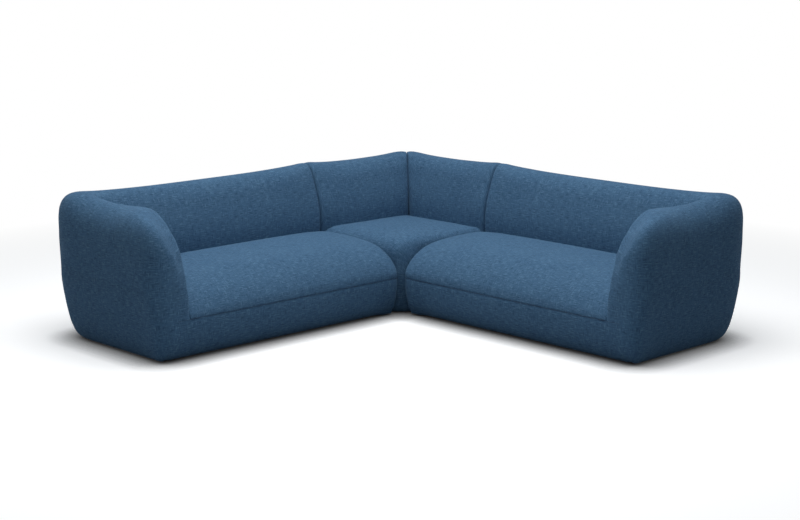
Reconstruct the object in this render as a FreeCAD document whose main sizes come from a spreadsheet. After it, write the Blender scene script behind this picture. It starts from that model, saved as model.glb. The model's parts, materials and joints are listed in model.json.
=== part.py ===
import FreeCAD, Part
import math
import os
from types import SimpleNamespace

import Sketcher
from FreeCAD import Placement, Rotation, Vector

# A corner sofa of three upholstered modules: a corner unit and two end units that mirror each other.
#
# Everything is drawn in the wing frame: its origin is on the floor at the outer back corner, s runs along
# the right wing, n runs from the right wing's back towards its front, and z is up. In the document s is +X
# and n is -Y. A node is then shifted so that the origin lies under the middle of the sofa. The left wing is
# the right one mirrored in the diagonal through the corner.

doc = FreeCAD.newDocument("corner_sofa")

DRIVING_SIZES = [
    ("overall_width", 2550, "outside length of each wing"),
    ("module_depth", 940, "depth of every module, front to back"),
    ("module_gap", 2, "air between two modules"),
    ("back_height", 746, "middle of a back panel's ridge"),
    ("ear_rise", 20, "how far a panel's ends stand above its middle"),
    ("back_thickness", 305, "back at the seat crease"),
    ("arm_thickness", 200, "arm at the seat crease"),
    ("corner_turn_step", 45, "how far behind an inside corner the walls begin to turn"),
    ("belly_height", 480, "height at which the outer walls bulge most"),
    ("skirt_clearance", 30, "air under the upholstery"),
    ("skirt_inset", 70, "how far the outer walls draw in at the floor"),
    ("front_inset", 65, "how far the front draws in at the floor"),
    ("arm_nose_length", 290, "stretch over which the arm rounds down to the front"),
    ("arm_nose_drop", 470, "height of that rounding"),
    ("arm_heel_height", 250, "height at which the arm's front stands out most"),
    ("arm_heel_length", 70, "stretch over which the arm's underside rounds up"),
    ("arm_corner_radius", 90, "outer front corner of the arm, from above"),
    ("seat_height", 387, "seat at its ends, beside the back"),
    ("seat_crown", 26, "how far the middle of the seat swells above its ends"),
    ("seam_height", 215, "seam between the seat cushion and the apron"),
    ("seat_end_roll", 110, "length over which a seat's end rolls down"),
    ("seat_end_drop", 55, "how far it rolls down"),
    ("seat_corner_inset", 80, "how far a seat's front corner draws back"),
    ("seat_tuck_drop", 26, "how far the seat dips where it tucks in at the arm"),
    ("soft_clearance", 0.3, "air between two covers"),
    ("seat_fill", 60, "padding between a seat's end and its foam"),
    ("rail_thickness", 25, "timber rails"),
    ("rail_height", 150, "timber rails"),
    ("block_size", 44, "corner blocks that take the feet"),
    ("block_height", 100, "corner blocks"),
    ("frame_corner_cut", 90, "diagonal rail across the frame's front corner"),
    ("back_frame_inset", 125, "base frame from the outer back plane"),
    ("arm_frame_inset", 100, "base frame from the arm's outer plane"),
    ("front_frame_inset", 90, "base frame from the front plane"),
    ("former_thickness", 18, "plywood formers"),
    ("former_inset", 80, "formers from the outer back plane"),
    ("former_front", 245, "formers' front edge at the seat"),
    ("former_top_front", 200, "formers' front edge at the top"),
    ("former_top_drop", 85, "top of that edge below the ridge"),
    ("batten_width", 30, "battens between formers"),
    ("corner_post_width", 45, "post where the two backs meet"),
    ("panel_thickness", 3, "hardboard behind the formers"),
    ("back_wrap", 15, "foam between the hardboard and the cover's lining"),
    ("back_foam_thickness", 25, "foam in front of the webbing"),
    ("belt_width", 60, "elastic webbing"),
    ("belt_thickness", 2, "elastic webbing"),
    ("felt_thickness", 6, "felt over the webbing"),
    ("dust_cover_thickness", 1, "cloth under the frame"),
    ("foot_height", 40, "glides"),
    ("foot_sole", 46, "side of a glide at the floor"),
    ("foot_cloth_margin", 12, "dust cloth's edge from a corner block"),
    ("foot_pocket", 18, "pocket for the screw's head"),
    ("foot_pocket_depth", 14, "pocket for the screw's head"),
    ("foot_screw_radius", 3, "shank of a foot's screw"),
    ("foot_screw_head_reach", 6.5, "head of a foot's screw, to its corners"),
    ("foot_screw_head_height", 4, "head of a foot's screw"),
    ("foot_screw_length", 70, "shank of a foot's screw"),
    ("link_standoff", 14, "frame's end from the plane between two modules"),
    ("link_plate", 3, "steel of the links"),
    ("link_plate_width", 90, "screwed plate of a link"),
    ("link_hook_width", 50, "hook and catch of a link"),
    ("link_play", 0.5, "air between hook and catch"),
    ("link_seat_play", 0.3, "air over the catch"),
    ("link_catch_reach", 1.5, "catch from the plane between two modules"),
    ("link_catch_bottom", 80, "underside of the catch"),
    ("link_catch_depth", 44, "height of the catch's tongue"),
    ("link_catch_plate_height", 70, "screwed plate of the catch"),
    ("link_hook_plate_height", 68, "screwed plate of the hook"),
    ("panel_drop", 150, "top of the thin boards below a back's ridge"),
    ("link_screw_spread", 70, "between the two screws of a plate"),
    ("link_screw_radius", 2, "shank of a link's screw"),
    ("link_screw_length", 20, "shank of a link's screw"),
    ("link_head_reach", 5, "head of a link's screw, to its corners"),
    ("link_head_height", 2.5, "head of a link's screw"),
    ("link_lift", 60, "lift that frees the hook"),
    ("link_first", 420, "first link from the outer back plane"),
    ("link_front_gap", 240, "second link from the unit's front"),
]


class Measure:
    """A length: its number, and the expression that ties it to the sheet."""

    def __init__(self, number, text):
        self.number = float(number)
        self.text = text

    def __float__(self):
        return self.number

    def joined(self, sign, other, number):
        other_text = other.text if isinstance(other, Measure) else repr(float(other))
        return Measure(number, "(%s %s %s)" % (self.text, sign, other_text))

    def __add__(self, other):
        return self.joined("+", other, self.number + float(other))

    def __sub__(self, other):
        return self.joined("-", other, self.number - float(other))

    def __mul__(self, factor):
        return self.joined("*", factor, self.number * float(factor))

    def __truediv__(self, divisor):
        return self.joined("/", divisor, self.number / float(divisor))

    def __neg__(self):
        return Measure(-self.number, "(0 - %s)" % self.text)


ZERO = Measure(0, "0")


def driving_sheet():
    """Fill the spreadsheet, and give each cell as a Measure under its own name."""
    sheet = doc.addObject("Spreadsheet::Sheet", "Sizes")
    for row, (alias, number, note) in enumerate(DRIVING_SIZES, start=1):
        sheet.set("A%d" % row, str(number))
        sheet.setAlias("A%d" % row, alias)
        sheet.set("B%d" % row, note)
    doc.recompute()
    cells = {}
    for alias, number, note in DRIVING_SIZES:
        cells[alias] = Measure(sheet.get(alias), "Sizes." + alias)
    return SimpleNamespace(**cells)


size = driving_sheet()
nodes = []

# Planes that several pieces share
half_gap = size.module_gap / 2
corner_end = size.module_depth - half_gap
side_start = size.module_depth + half_gap
arm_plane = size.overall_width - size.arm_thickness
seat_end = arm_plane - size.soft_clearance
seat_back = size.back_thickness + size.soft_clearance
rail_bottom = size.foot_height
rail_top = rail_bottom + size.rail_height
felt_bottom = rail_top + size.belt_thickness * 2
felt_top = felt_bottom + size.felt_thickness
frame_back = size.back_frame_inset
frame_front = size.module_depth - size.front_frame_inset
side_frame_start = size.module_depth + size.link_standoff
side_frame_end = size.overall_width - size.arm_frame_inset
corner_frame_end = size.module_depth - size.link_standoff
under_floor = size.skirt_clearance - 20
floor_span = (under_floor, size.skirt_clearance)
foam_back = seat_back + 25
foam_front = frame_front
back_frame_start = size.module_depth + size.link_standoff + 4
cavity_rear = size.former_inset - size.panel_thickness - size.back_wrap
link_under = size.link_catch_bottom + size.link_catch_depth + size.link_seat_play
cavity_front = size.former_front + size.belt_thickness + size.back_foam_thickness


# Helpers that draw in the wing frame

def place(obj, s, n, z):
    """Tie an object's place to the sheet."""
    obj.setExpression("Placement.Base.x", s.text)
    obj.setExpression("Placement.Base.y", (-n).text)
    obj.setExpression("Placement.Base.z", z.text)


def box(label, s_span, n_span, z_span):
    obj = doc.addObject("Part::Box", label)
    obj.setExpression("Length", (s_span[1] - s_span[0]).text)
    obj.setExpression("Width", (n_span[1] - n_span[0]).text)
    obj.setExpression("Height", (z_span[1] - z_span[0]).text)
    place(obj, s_span[0], n_span[1], z_span[0])
    return obj


def upright_peg(label, s, n, z_span, radius):
    obj = doc.addObject("Part::Cylinder", label)
    obj.setExpression("Radius", radius.text)
    obj.setExpression("Height", (z_span[1] - z_span[0]).text)
    place(obj, s, n, z_span[0])
    return obj


def level_peg(label, s_span, n, z, radius):
    """A round peg that lies along s."""
    obj = doc.addObject("Part::Cylinder", label)
    obj.setExpression("Radius", radius.text)
    obj.setExpression("Height", (s_span[1] - s_span[0]).text)
    obj.Placement = Placement(Vector(), Rotation(Vector(0, 1, 0), 90))
    place(obj, s_span[0], n, z)
    return obj


FOOT_TAPER = 7
SKETCH_PLANES = {"s": ("YZ_Plane", -1, 1), "n": ("XZ_Plane", 1, 1), "z": ("XY_Plane", 1, -1)}


def add_outline(body, label, plane_role, points):
    """Sketch a closed outline whose every corner is tied to the sheet."""
    sketch = body.newObject("Sketcher::SketchObject", label)
    plane = [item for item in body.Origin.OriginFeatures if item.Role == plane_role][0]
    sketch.AttachmentSupport = [(plane, "")]
    sketch.MapMode = "FlatFace"
    corners = [Vector(float(across), float(up), 0) for across, up in points]
    for index, corner in enumerate(corners):
        after = corners[(index + 1) % len(corners)]
        sketch.addGeometry(Part.LineSegment(corner, after), False)
    for index, (across, up) in enumerate(points):
        after = (index + 1) % len(points)
        sketch.addConstraint(Sketcher.Constraint("Coincident", index, 2, after, 1))
        for direction, distance in (("DistanceX", across), ("DistanceY", up)):
            bond = Sketcher.Constraint(direction, -1, 1, index, 1, float(distance))
            number = sketch.addConstraint(bond)
            sketch.setExpression("Constraints[%d]" % number, distance.text)
    return sketch


def prism(label, axis, points, start, end):
    """Pad an outline along s, n or z. Its points are (n, z), (s, z) or (s, n)."""
    plane_role, across_sign, up_sign = SKETCH_PLANES[axis]
    body = doc.addObject("PartDesign::Body", label)
    signed = []
    for across, up in points:
        signed.append((across if across_sign > 0 else -across, up if up_sign > 0 else -up))
    sketch = add_outline(body, label + "_outline", plane_role, signed)
    pad = body.newObject("PartDesign::Pad", label + "_pad")
    pad.Profile = sketch
    pad.setExpression("Length", (end - start).text)
    shift = {"s": (start, ZERO, ZERO), "n": (ZERO, start, ZERO), "z": (ZERO, ZERO, start)}[axis]
    place(body, *shift)
    return body


def copy_of(label, original, s, n, z=ZERO):
    link = doc.addObject("App::Link", label)
    link.LinkedObject = original
    place(link, s, n, z)
    return link


def joined(label, members):
    """One solid out of members that meet or overlap."""
    obj = doc.addObject("Part::MultiFuse", label)
    obj.Shapes = members
    return obj


def group(label, members):
    """Several separate solids under one name."""
    obj = doc.addObject("Part::Compound", label)
    obj.Links = members
    return obj


def cut(label, base, tools):
    obj = doc.addObject("Part::Cut", label)
    obj.Base = base
    obj.Tool = tools[0] if len(tools) == 1 else group(label + "_tools", tools)
    return obj


def add_node(label, obj):
    """Make an object a sub-part: give it its own name and shift it over the sofa's middle."""
    if obj.TypeId not in ("Part::Feature", "Part::Compound"):
        obj = group(label, [obj])
    obj.Label = label
    middle = size.overall_width / 2
    obj.setExpression("Placement.Base.x", (-middle).text)
    obj.setExpression("Placement.Base.y", middle.text)
    nodes.append(obj)
    return obj


def mirrored(label, original):
    """The same piece on the left wing, across the diagonal of the corner."""
    obj = doc.addObject("Part::Mirroring", label)
    obj.Source = original
    obj.Normal = Vector(1, 1, 0)
    return obj


def add_mirrored(label, original):
    obj = mirrored(label, original)
    obj.Label = label
    nodes.append(obj)


def between(first, last, share):
    """The place that lies a share of the way from first to last."""
    return first + (last - first) * share


# Soft forms: closed outlines of lines and flat arcs, lofted along the wing

def bowed(start, end, rise):
    """A stretch of an outline that swells by rise to the left of its chord."""
    run = Vector(end[0] - start[0], end[1] - start[1], 0)
    side = Vector(-run.y, run.x, 0).normalize()
    middle = ((start[0] + end[0]) / 2 + side.x * rise, (start[1] + end[1]) / 2 + side.y * rise)
    return (start, middle, end)


def straight(start, end):
    return (start, None, end)


def section_wire(stretches, to_space):
    """Map an outline's stretches into space as one closed wire."""
    edges = []
    for start, middle, end in stretches:
        first, last = to_space(*start), to_space(*end)
        if middle is None:
            edges.append(Part.LineSegment(first, last).toShape())
        else:
            curve = Part.BezierCurve()
            curve.setPoles([first, to_space(*middle) * 2 - (first + last) * 0.5, last])
            edges.append(curve.toShape())
    return Part.Wire(edges)


def soft_loft(label, wires, ruled=False):
    obj = doc.addObject("Part::Feature", label)
    obj.Shape = Part.makeLoft(wires, True, ruled)
    return obj


def rolled(distance, length):
    """From 1 at a cushion's end to 0 where its rolled edge has met the flat."""
    share = min(1.0, distance / length)
    return 1 - math.sqrt(1 - (1 - share) ** 2)


# The walls are lofted past the floor of the upholstery, and then cut flat there
FLOOR_CUT = 10


def wall_outline():
    """A back's section as (n, z): swollen outer wall, ridge, leaning front, and the tuck behind the seat."""
    top = float(size.back_height)
    thick = float(size.back_thickness)
    floor = float(size.skirt_clearance)
    skirt = (float(size.skirt_inset) + 2, floor - FLOOR_CUT)
    belly = (0.0, float(size.belly_height))
    shoulder = (thick * 0.1, top - 70)
    ridge_rear = (thick * 0.43, top - 10)
    ridge = (thick * 0.62, top)
    ridge_front = (thick * 0.79, top - 58)
    crease = (thick, float(size.seat_height) + 16)
    tuck = (thick, floor - FLOOR_CUT)
    return [
        bowed(skirt, belly, 14),
        bowed(belly, shoulder, 9),
        bowed(shoulder, ridge_rear, 18),
        bowed(ridge_rear, ridge, 2.5),
        bowed(ridge, ridge_front, 12),
        bowed(ridge_front, crease, 16),
        straight(crease, tuck),
        straight(tuck, skirt),
    ]


WALL = wall_outline()


def panel_rise(share):
    """How far a panel's ridge stands above its middle, from 0 at one end to 1 at the other."""
    return float(size.ear_rise) * (2 * share - 1) ** 4


def stretched_height(z, top, bottom):
    """A wall's height when the whole wall reaches from bottom to top."""
    floor = float(size.skirt_clearance)
    return bottom + (z - floor) * (top - bottom) / (float(size.back_height) - floor)


def back_section(s, rise=0.0, draw_in=0.0):
    """A back's section across the wing at s, with its top raised and its faces drawn in."""
    thick = float(size.back_thickness)
    top = float(size.back_height) + rise
    floor = float(size.skirt_clearance)

    def to_space(n, z):
        inset = n + draw_in * (1 - n / thick)
        return Vector(s, -inset, stretched_height(z, top, floor))
    return section_wire(WALL, to_space)


CORNER_FULLNESS = 3.0
CORNER_TURNS = (0, 0.35, 0.7, 1)


def corner_pivot(corner_s, width):
    """The point that the sections turn about: behind the inside corner, on the line of the mitre."""
    thick = float(size.back_thickness)
    step = float(size.corner_turn_step)
    run = math.hypot(thick, width)
    return corner_s - step * width / run, thick + step * thick / run


def corner_section(angle, corner_s, width, rise, on_back):
    """A section that turns through a corner, where width is the other wall's thickness and its side."""
    thick = float(size.back_thickness)
    top = float(size.back_height) + rise
    floor = float(size.skirt_clearance)
    pivot_s, pivot_n = corner_pivot(corner_s, width)
    half_s, half_n = abs(corner_s + width - pivot_s), pivot_n
    run_s, run_n = math.cos(angle), math.sin(angle)
    fullness = CORNER_FULLNESS
    reach = ((run_s / half_s) ** fullness + (run_n / half_n) ** fullness) ** (-1 / fullness)
    inner = (pivot_n - thick) / run_n if on_back else abs(corner_s - pivot_s) / run_s

    def to_space(n, z):
        outward = inner + (reach - inner) * (1 - n / thick)
        s = pivot_s + math.copysign(outward * run_s, width)
        return Vector(s, -(pivot_n - outward * run_n), stretched_height(z, top, floor))
    return section_wire(WALL, to_space)


def back_cover_loft(label, start, direction, corner_s, width):
    """A back panel's cover from a joint end at start to the mitre in a corner."""
    mitre = math.atan2(float(size.back_thickness), abs(width))
    run = abs(corner_pivot(corner_s, width)[0] - start)
    length = run + abs(width) / 2
    wires = []
    rolled_end = ((0, 26, -26), (9, 8, -8), (28, 0, 0))
    for along, draw_in, dip in rolled_end + ((run * 0.2, 0, 0), (run / 2, 0, 0), (run * 0.8, 0, 0)):
        rise = panel_rise(along / length) + dip
        wires.append(back_section(start + direction * along, rise, draw_in))
    for turn in CORNER_TURNS:
        angle = math.pi / 2 + (mitre - math.pi / 2) * turn
        rise = panel_rise((run + turn * abs(width) / 2) / length)
        wires.append(corner_section(angle, corner_s, width, rise, True))
    return soft_loft(label, wires, ruled=True)


def arm_section(n, lo, hi, outer_inset):
    """An arm's section across its length at n, between two heights."""
    thick = float(size.back_thickness)
    width = float(size.arm_thickness)
    outside = float(size.overall_width)

    def to_space(depth, z):
        across = outer_inset + depth / thick * (width - outer_inset)
        return Vector(outside - across, -n, stretched_height(z, hi, lo))
    return section_wire(WALL, to_space)


def arm_cover_loft(label):
    """The arm's cover, from the mitre at the back, over its level top, to the rounded nose."""
    thick = float(size.back_thickness)
    width = float(size.arm_thickness)
    front = float(size.module_depth)
    top = float(size.back_height)
    floor = float(size.skirt_clearance)
    mitre = math.atan2(thick, width)
    nose = float(size.arm_nose_length)
    nose_drop = float(size.arm_nose_drop)
    heel = float(size.arm_heel_length)
    heel_height = float(size.arm_heel_height)
    radius = float(size.arm_corner_radius)
    wires = []
    for turn in CORNER_TURNS:
        rise = float(size.ear_rise) * (1 - turn) ** 2
        wires.append(corner_section(mitre * (1 - turn), float(arm_plane), width, rise, False))
    wires.append(arm_section(thick + (front - nose - thick) / 2, floor, top - 4, 0))
    for share in (0, 0.3, 0.55, 0.75, 0.88, 0.96, 0.994):
        n = front - nose * (1 - share)
        hi = top - 6 - nose_drop * (1 - math.sqrt(1 - share ** 2))
        into_heel = max(0.0, (n - (front - heel)) / heel)
        lo = floor + (heel_height - floor) * (1 - math.sqrt(1 - into_heel ** 2))
        into_corner = max(0.0, n - (front - radius))
        inset = radius - math.sqrt(radius ** 2 - into_corner ** 2)
        wires.append(arm_section(n, lo, hi, inset))
    return soft_loft(label, wires, ruled=True)


def seat_outline(front, end_rolls):
    """A seat cushion's section as (n, z), from the tuck at the back over the crown to the front seam."""
    back = float(seat_back)
    height = float(size.seat_height)
    seam = float(size.seam_height)
    depth = front - back
    rear = (back, height)
    if end_rolls:
        # The corner's seat ends in the same rolled edge towards the second joint
        roll = float(size.seat_end_roll)
        brow = (front - roll, height - 8)
        cheek = (front - roll * 0.25, height - 26)
        rises = (4, 4, 4)
    else:
        brow = (back + depth * 0.7, height - 13)
        cheek = (back + depth * 0.955, height - 95)
        rises = (11, 18, 6)
    edge = (front, seam + 20 if not end_rolls else height - float(size.seat_end_drop))
    foot = (front, seam)
    return [
        bowed(rear, brow, rises[0]),
        bowed(brow, cheek, rises[1]),
        bowed(cheek, edge, rises[2]),
        straight(edge, foot),
        straight(foot, (back, seam)),
        straight((back, seam), rear),
    ]


def seat_section(outline, s, crown, drop, front_inset):
    """A seat's section at s: swollen by crown, lowered by drop, with its front drawn back."""
    back = float(seat_back)
    seam = float(size.seam_height)
    height = float(size.seat_height) - seam
    front = max(point[0] for stretch in outline for point in stretch if point)

    def to_space(n, z):
        drawn = back + (n - back) * (front - front_inset - back) / (front - back)
        return Vector(s, -drawn, seam + (z - seam) * (height + crown - drop) / height)
    return section_wire(outline, to_space)


def seat_cover_loft(label, start, end, front, corner_seat):
    """A seat cushion's cover: rolled down at each joint end, crowned between, tucked in at an arm or back."""
    roll = float(size.seat_end_roll)
    drop = float(size.seat_end_drop)
    inset = float(size.seat_corner_inset)
    outline = seat_outline(front, corner_seat)
    length = abs(end - start)
    direction = math.copysign(1, end - start)
    wires = []

    def add_station(along, dip, tuck):
        crown = float(size.seat_crown) * (1 - (2 * along / length - 1) ** 2)
        wires.append(seat_section(outline, start + direction * along, crown, dip, tuck))

    for share in (0, 0.06, 0.22, 0.5, 1):
        edge = rolled(share * roll, roll)
        add_station(share * roll, drop * edge, inset * edge)
    if corner_seat:
        for share in (0.55, 1):
            add_station(share * length, 0, 0)
    else:
        for share in (0.25, 0.5, 0.75):
            add_station(share * length, 0, 0)
        for back_off, dip, tuck in ((70, 0, 0), (22, 0.25, 3), (0, 1, 14)):
            add_station(length - back_off, float(size.seat_tuck_drop) * dip, tuck)
    return soft_loft(label, wires, ruled=True)


def apron_front(z):
    """How far the front stands out at a height: drawn in towards the floor."""
    depth = float(size.seam_height) - float(size.skirt_clearance)
    share = min(1.0, (float(size.seam_height) - z) / depth)
    return float(size.module_depth) - float(size.front_inset) * (1 - math.sqrt(1 - share ** 2))


def plan_corner(corner_s, corner_n, reach_s, reach_n, angle, z):
    """A point on a rounded plan corner: angle 0 lies on the end, a quarter turn lies on the front."""
    s = corner_s + reach_s * (1 - math.cos(angle))
    n = corner_n - reach_n * (1 - math.sin(angle))
    return Vector(s, -n, z)


def plan_wire(arc, corners):
    """A closed plan outline: one arc of three points, then straight sides through the corners."""
    edges = [Part.Arc(*arc).toShape()]
    path = [arc[2]] + corners + [arc[0]]
    for first, last in zip(path, path[1:]):
        edges.append(Part.LineSegment(first, last).toShape())
    return Part.Wire(edges)


APRON_LEVELS = (0, 0.06, 0.18, 0.45, 1)


def apron_levels():
    floor = float(size.skirt_clearance)
    return [floor + share * (float(size.seam_height) - floor) for share in APRON_LEVELS]


def front_apron_loft(label):
    """The padded apron under the seat's front, mitred at the rounded corner."""
    start = float(side_start)
    roll, inset = float(size.seat_end_roll), float(size.seat_corner_inset)
    frame_s, frame_n = float(side_frame_start), float(frame_front)
    cut_back = float(size.frame_corner_cut)
    end = float(seat_end)
    wires = []
    for z in apron_levels():
        front = apron_front(z)
        arc = [plan_corner(start, front, roll, inset, math.radians(turn), z) for turn in (45, 68, 90)]
        inner = [
            Vector(end, -front, z),
            Vector(end, -frame_n, z),
            Vector(frame_s + cut_back, -frame_n, z),
            Vector(frame_s + cut_back / 2, -(frame_n - cut_back / 2), z),
        ]
        wires.append(plan_wire(arc, inner))
    return soft_loft(label, wires, ruled=True)


def end_apron_loft(label):
    """The apron's return along the joint, from the rounded corner to the back."""
    start = float(side_start)
    roll, inset = float(size.seat_end_roll), float(size.seat_corner_inset)
    frame_s, frame_n = float(side_frame_start), float(frame_front)
    cut_back = float(size.frame_corner_cut)
    back = float(seat_back)
    wires = []
    for z in apron_levels():
        front = apron_front(z)
        arc = [plan_corner(start, front, roll, inset, math.radians(turn), z) for turn in (0, 22, 45)]
        inner = [
            Vector(frame_s + cut_back / 2, -(frame_n - cut_back / 2), z),
            Vector(frame_s, -(frame_n - cut_back), z),
            Vector(frame_s, -back, z),
            Vector(start, -back, z),
        ]
        wires.append(plan_wire(arc, inner))
    return soft_loft(label, wires, ruled=True)


def corner_apron_loft(label):
    """The corner unit's apron along the right joint, mitred on the diagonal."""
    end = float(corner_end)
    reach = float(size.seat_corner_inset)
    frame = float(corner_frame_end)
    cut_back = float(size.frame_corner_cut)
    back = float(seat_back)
    wires = []
    for z in (float(size.skirt_clearance), float(size.seam_height)):
        angles = [math.radians(turn) for turn in (45, 22, 0)]
        arc = [plan_corner(end, end, -reach, reach, angle, z) for angle in angles]
        inner = [
            Vector(end, -back, z),
            Vector(frame, -back, z),
            Vector(frame, -(frame - cut_back), z),
            Vector(frame - cut_back / 2, -(frame - cut_back / 2), z),
        ]
        wires.append(plan_wire(arc, inner))
    return soft_loft(label, wires, ruled=True)


# Outlines that several hard or foam pieces share

def former_outline():
    """A plywood former's outline as (n, z): it carries the hardboard behind and the webbing in front."""
    ridge = size.back_height
    return [
        (size.former_inset, rail_top),
        (size.former_inset, ridge - 150),
        (size.former_inset + 34, ridge - 80),
        (size.former_top_front - 30, ridge - 66),
        (size.former_top_front, ridge - size.former_top_drop),
        (size.former_front, size.seat_height + 20),
        (size.former_front, rail_top),
    ]


def back_lining_outline():
    """The inside of a back's cover, as (n, z)."""
    ridge = size.back_height
    return [
        (cavity_rear, rail_top),
        (cavity_rear, ridge - 132),
        (cavity_rear + 40, ridge - 52),
        (size.former_top_front - 18, ridge - 36),
        (size.former_top_front + 22, ridge - 72),
        (cavity_front, size.seat_height + 60),
        (cavity_front, rail_top),
    ]


def back_foam_outline():
    """The foam that wraps the formers' top and front, over the webbing."""
    ridge = size.back_height
    skin = size.belt_thickness
    return [
        (size.former_inset, ridge - 150),
        (size.former_inset + 34, ridge - 80),
        (size.former_top_front - 30, ridge - 66),
        (size.former_top_front + skin, ridge - size.former_top_drop),
        (size.former_front + skin, size.seat_height + 20),
        (size.former_front + skin, felt_top),
        (cavity_front, felt_top),
        (cavity_front, size.seat_height + 60),
        (size.former_top_front + 22, ridge - 72),
        (size.former_top_front - 18, ridge - 36),
        (cavity_rear + 40, ridge - 52),
        (cavity_rear, ridge - 132),
    ]


def seat_foam_outline(bottom, front):
    height = size.seat_height
    return [
        (foam_back, bottom),
        (foam_back, height - 25),
        (between(foam_back, front, 0.55), height - 18),
        (between(foam_back, front, 0.82), height - 42),
        (front, height - 84),
        (front, bottom),
    ]


def arm_outline(bottom):
    """The arm's inside as (n, z), from its bottom over its level top and down its nose."""
    front = size.module_depth
    ridge = size.back_height
    rear = size.back_frame_inset + size.rail_thickness
    return [
        (rear, bottom),
        (rear, ridge - 96),
        (front - size.arm_nose_length - 10, ridge - 96),
        (front - 215, ridge - 150),
        (front - 140, ridge - 250),
        (front - 105, ridge - 370),
        (front - 105, bottom),
    ]


# Hard pieces

BELTS_PER_SPACE = 3
SIDE_FORMERS = 4
CORNER_FORMERS = 3
BACK_BELTS = 3

def base_frame(prefix, rails, corner_rail, places):
    """Timber rails and the blocks that take the feet, each its own solid."""
    members = [box(prefix + "_" + name, *spans) for name, spans in rails.items()]
    members.append(prism(prefix + "_corner_rail", "z", corner_rail, rail_bottom, rail_top))
    half = size.block_size / 2
    for number, (s, n) in enumerate(places, start=1):
        height = (rail_bottom, rail_bottom + size.block_height)
        spans = ((s - half, s + half), (n - half, n + half), height)
        members.append(box("%s_foot_block_%d" % (prefix, number), *spans))
    return add_node(prefix + "_base_frame", group(prefix + "_base_frame", members))


def square(half):
    return [(-half, -half), (half, -half), (half, half), (-half, half)]


def hexagon(reach):
    turns = [math.radians(60 * corner) for corner in range(6)]
    return [(reach * math.cos(turn), reach * math.sin(turn)) for turn in turns]


def foot_form():
    """A moulded glide: square, wider under the frame, with a pocket that hides the screw's head."""
    blank = prism("foot_blank", "z", square(size.foot_sole / 2), ZERO, size.foot_height)
    blank.Tip.TaperAngle = FOOT_TAPER
    half = size.foot_pocket / 2
    pocket = box("foot_pocket", (-half, half), (-half, half), (ZERO, size.foot_pocket_depth))
    bore = upright_peg("foot_bore", ZERO, ZERO, (ZERO, size.foot_height), size.foot_screw_radius)
    return cut("foot_form", blank, [pocket, bore])


def hex_screw(label, head_reach, head_height, shank_radius, shank_length):
    """A hexagon-head wood screw that stands on its head at z 0."""
    head = prism(label + "_head", "z", hexagon(head_reach), ZERO, head_height)
    shank_span = (head_height / 2, head_height + shank_length)
    shank = upright_peg(label + "_shank", ZERO, ZERO, shank_span, shank_radius)
    return joined(label, [head, shank])


foot_shape = foot_form()
foot_screw_shape = hex_screw("foot_screw", size.foot_screw_head_reach, size.foot_screw_head_height,
                             size.foot_screw_radius, size.foot_screw_length)


def feet_and_dust_cover(prefix, places, cloth):
    """Glides, the screws that hold them, and the dust cloth, which is cut out round each glide."""
    label = prefix + "_feet"
    feet = [copy_of("%s_%d" % (label, number), foot_shape, s, n) for number, (s, n) in enumerate(places, 1)]
    add_node(label, group(label, feet))
    label = prefix + "_foot_screws"
    head_bottom = size.foot_pocket_depth - size.foot_screw_head_height
    screws = []
    for number, (s, n) in enumerate(places, start=1):
        screws.append(copy_of("%s_%d" % (label, number), foot_screw_shape, s, n, head_bottom))
    add_node(label, group(label, screws))
    label = prefix + "_dust_cover"
    height = (rail_bottom - size.dust_cover_thickness, rail_bottom)
    half = size.block_size / 2 + size.foot_cloth_margin
    around = []
    for number, (s, n) in enumerate(places, start=1):
        name = "%s_cutout_%d" % (label, number)
        around.append(box(name, (s - half, s + half), (n - half, n + half), height))
    sheet = prism(label + "_sheet", "z", cloth, *height)
    add_node(label, cut(label + "_cut_out", sheet, around))


def belts_between_formers(prefix, first, last, count, n_span, bottom):
    """Belts from front to back, a few in each space between two formers."""
    members = []
    half = size.belt_width / 2
    pitch = (last - first - size.former_thickness) / (count - 1)
    clear = pitch - size.former_thickness
    for space in range(count - 1):
        start = first + size.former_thickness + pitch * space
        for number in range(BELTS_PER_SPACE):
            s = start + clear * ((number + 0.5) / BELTS_PER_SPACE)
            label = "%s_belt_%d_%d" % (prefix, space + 1, number + 1)
            members.append(box(label, (s - half, s + half), n_span, (bottom, bottom + size.belt_thickness)))
    return members


def back_frame_members(prefix, first, last, count):
    """Formers across the wing, and two battens in each space between them."""
    label = prefix + "_formers"
    body = prism(label, "s", former_outline(), first, first + size.former_thickness)
    pattern = body.newObject("PartDesign::LinearPattern", label + "_row")
    pattern.Originals = [body.Tip]
    axis = [item for item in body.Origin.OriginFeatures if item.Role == "X_Axis"][0]
    pattern.Direction = (axis, [""])
    spread = last - first - size.former_thickness
    pattern.setExpression("Length", spread.text)
    pattern.Occurrences = count
    body.Tip = pattern
    members = [body]
    pitch = spread / (count - 1)
    rear = size.former_inset + 40
    for space in range(count - 1):
        start = first + size.former_thickness + pitch * space
        span = (start, start + pitch - size.former_thickness)
        for level, height in (("upper", size.back_height - 130), ("lower", size.seat_height)):
            name = "%s_%s_batten_%d" % (prefix, level, space + 1)
            depth = (rear, rear + size.batten_width)
            members.append(box(name, span, depth, (height, height + size.batten_width)))
    return members


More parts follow.
